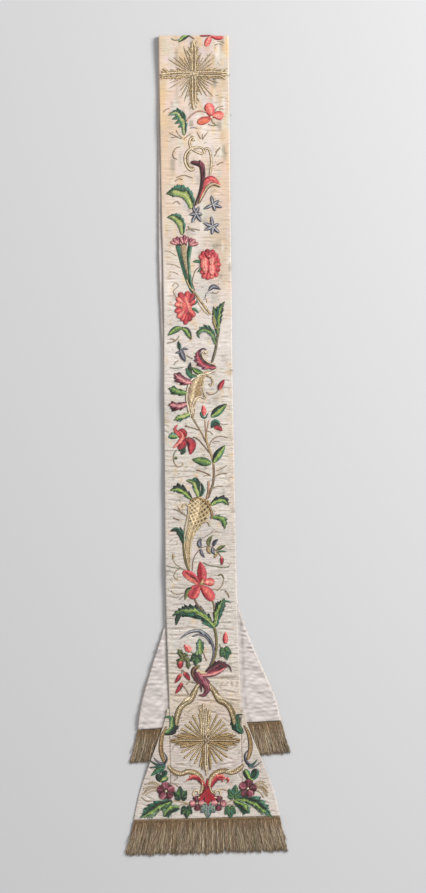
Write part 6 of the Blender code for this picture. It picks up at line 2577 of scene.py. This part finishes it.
HEADING_CORDS = (
    HeadingCord(0.0, 1.0, 0.0, 0.0013, "heading"),
    HeadingCord(0.02, 0.27, 0.0008, 0.0019, "heading pale"),
    HeadingCord(0.26, 0.51, 0.0008, 0.0020, "heading"),
    HeadingCord(0.50, 0.75, 0.0008, 0.0020, "heading pale"),
    HeadingCord(0.74, 0.99, 0.0008, 0.0018, "heading"),
)


def fringe_place(tail, across, past):
    """The place of a fringe point, given how far past the hem it is."""
    return spot(tail, tail.length + SEAM_GAP + past, across)


def add_tube(pad, line, half, colours):
    """A closed strand along a line of places, four-sided, tapering to both ends."""
    ahead = np.gradient(line, axis=0)
    ahead /= np.linalg.norm(ahead, axis=1)[:, None]
    aside = np.stack([-ahead[:, 1], ahead[:, 0], np.zeros(len(line))], 1)
    up = np.array([0, 0, 1.0])
    taper = np.ones(len(line))
    taper[0] = taper[-1] = 0.05
    angles = np.arange(4) * math.pi / 2 + math.pi / 4
    ring = aside[:, None, :] * np.cos(angles)[None, :, None] + up * np.sin(angles)[None, :, None]
    places = line[:, None, :] + ring * (half * taper)[:, None, None]
    run = np.concatenate([[0], np.cumsum(np.linalg.norm(np.diff(line, axis=0), axis=1))])
    threads = np.zeros_like(places)
    threads[..., 0] = run[:, None] + line[0, 0] * 3
    threads[..., 1] = np.array([0, 1, 2, 1])[None, :] * half
    roll_up(pad, places, np.repeat(colours[:, None, :], 4, 1), threads)


def strand_lines(row):
    """Every strand of a fringe as a line of places, with its colours."""
    chance = np.random.default_rng(row.seed)
    tail = row.tail
    half = float(band_half(tail, tail.length) + flare_out(tail, tail.length))
    share = np.linspace(0, 1, STRAND_ROWS) ** 0.85
    clump_lean = chance.normal(0, 0.0006, CLUMPS)
    clump_end = chance.normal(0, 0.0007, CLUMPS)
    for k in range(row.strands):
        root = -half + 2 * half * (k + chance.uniform(0, 1)) / row.strands
        clump = min(int((root / half + 1) / 2 * CLUMPS), CLUMPS - 1)
        middle = -half + (clump + 0.5) * 2 * half / CLUMPS
        gather = 0.08 * (middle - root) * ease((share - 0.3) / 0.7)
        lean = clump_lean[clump] + chance.normal(0, 0.0009)
        sway = lean * share ** 1.6 + chance.normal(0, 0.0005) * np.sin(share * 7)
        sway = sway + CRIMP * np.where(np.arange(STRAND_ROWS) % 2, 1, -1) * (0.4 + share)
        across = root * (1 + FRINGE_SPREAD / half * share ** 1.3) + gather + sway
        length = row.length + clump_end[clump] + chance.normal(0, 0.0011)
        length *= 1 - 0.35 * (chance.uniform(0, 1) > 0.96)
        past = STRIP_DEEP * STRAND_ROOT + (length + STRIP_DEEP * (1 - STRAND_ROOT)) * share
        x, y = fringe_place(tail, across, past)
        layer = k % 3
        z = 0.0005 + 0.0006 * layer + 0.0003 * np.sin(share * 5 + k)
        z = z + 0.0011 * (1 - ease(share / 0.3))
        # Strands lower in the pile are painted darker, as painted shade under the upper ones.
        tone = chance.uniform(0.70, 1.30) * (0.88 + 0.08 * layer)
        root_dark = 1 - ROOT_BROWN * (1 - ease(share / 0.45))[:, None]
        base = LINEAR_THREADS[FRINGE_THREADS[int(chance.integers(len(FRINGE_THREADS)))]]
        yield np.stack([x, y, np.broadcast_to(z, x.shape)], 1), base * tone * root_dark


def heading(pad, tail):
    """A flat strip past the hem with four twisted cords on it."""
    half = float(band_half(tail, tail.length) + flare_out(tail, tail.length))
    across = np.linspace(-half, half, 160)
    for start, end, low, high, name in HEADING_CORDS:
        around = np.linspace(0, 2 * math.pi, 9)[:-1]
        flat = name == "heading" and end == 1.0
        deep = (start + end) / 2 + (end - start) / 2 * np.cos(around)[None, :]
        twist = 0.0 if flat else 0.10 * np.sin(across[:, None] / CORD_TWIST * math.pi + around[None, :])
        z = (low + high) / 2 + (high - low) / 2 * np.sin(around)[None, :] * (1 + twist)
        closing = np.ones((len(across), 1))
        closing[0] = closing[-1] = 0.05
        z = (low + high) / 2 + (z - (low + high) / 2) * closing
        past = STRIP_DEEP * ((start + end) / 2 + (deep - (start + end) / 2) * closing)
        x, y = fringe_place(tail, across[:, None] + 0 * past, past)
        places = np.stack([x, y, z + 0 * x], 2)
        bars = 0.92 + 0.14 * (np.sin(across / CORD_TWIST * 2 * math.pi) > 0.1)
        colours = np.repeat((LINEAR_THREADS[name] * bars[:, None])[:, None, :], 8, 1)
        threads = np.stack([across[:, None] + 0 * x, past, 0 * x], 2)
        roll_up(pad, places, colours, threads)


def make_fringe(name, row):
    pad = []
    heading(pad, row.tail)
    for line, colours in strand_lines(row):
        add_tube(pad, line, STRAND_HALF, colours)
    piece = shape_from(pad, name, FRINGE)
    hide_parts(name)
    print(name, triangles(piece), "triangles")
    return piece


fringes = {name: make_fringe(name, row) for name, row in FRINGES.items()}

# %% [markdown]
# All flat work has waited for the height of the cloth. Now each piece is bent onto the embroidered face.

# %% Laying the embroidery
for piece in (*embroidery, *gold, stitches, strays):
    lay(piece)

# %% [markdown]
# The flat sizes of the gores and the lining are worked out from the same tables,
# the spade ends by adding up the flare.

# %% Sheets


def flat_area(tail, start, end, width):
    """Flat area of a piece whose width is a function of the way down."""
    downs = np.linspace(start, end, 400)
    widths = width(tail, downs)
    return float(np.sum((widths[1:] + widths[:-1]) / 2 * np.diff(downs)))


def gore_area(tail):
    def gore_width(t, d):
        return np.maximum(flare_out(t, d), GORE_POINT)

    return flat_area(tail, tail.length - tail.gore_height, tail.length, gore_width)


for word in ("left", "right"):
    gore_area(FRONT)
    gore_area(BACK)
flat_area(BACK, LINING_TOP_END, BACK_LENGTH, lambda t, d: 2 * (band_half(t, d) + flare_out(t, d)))
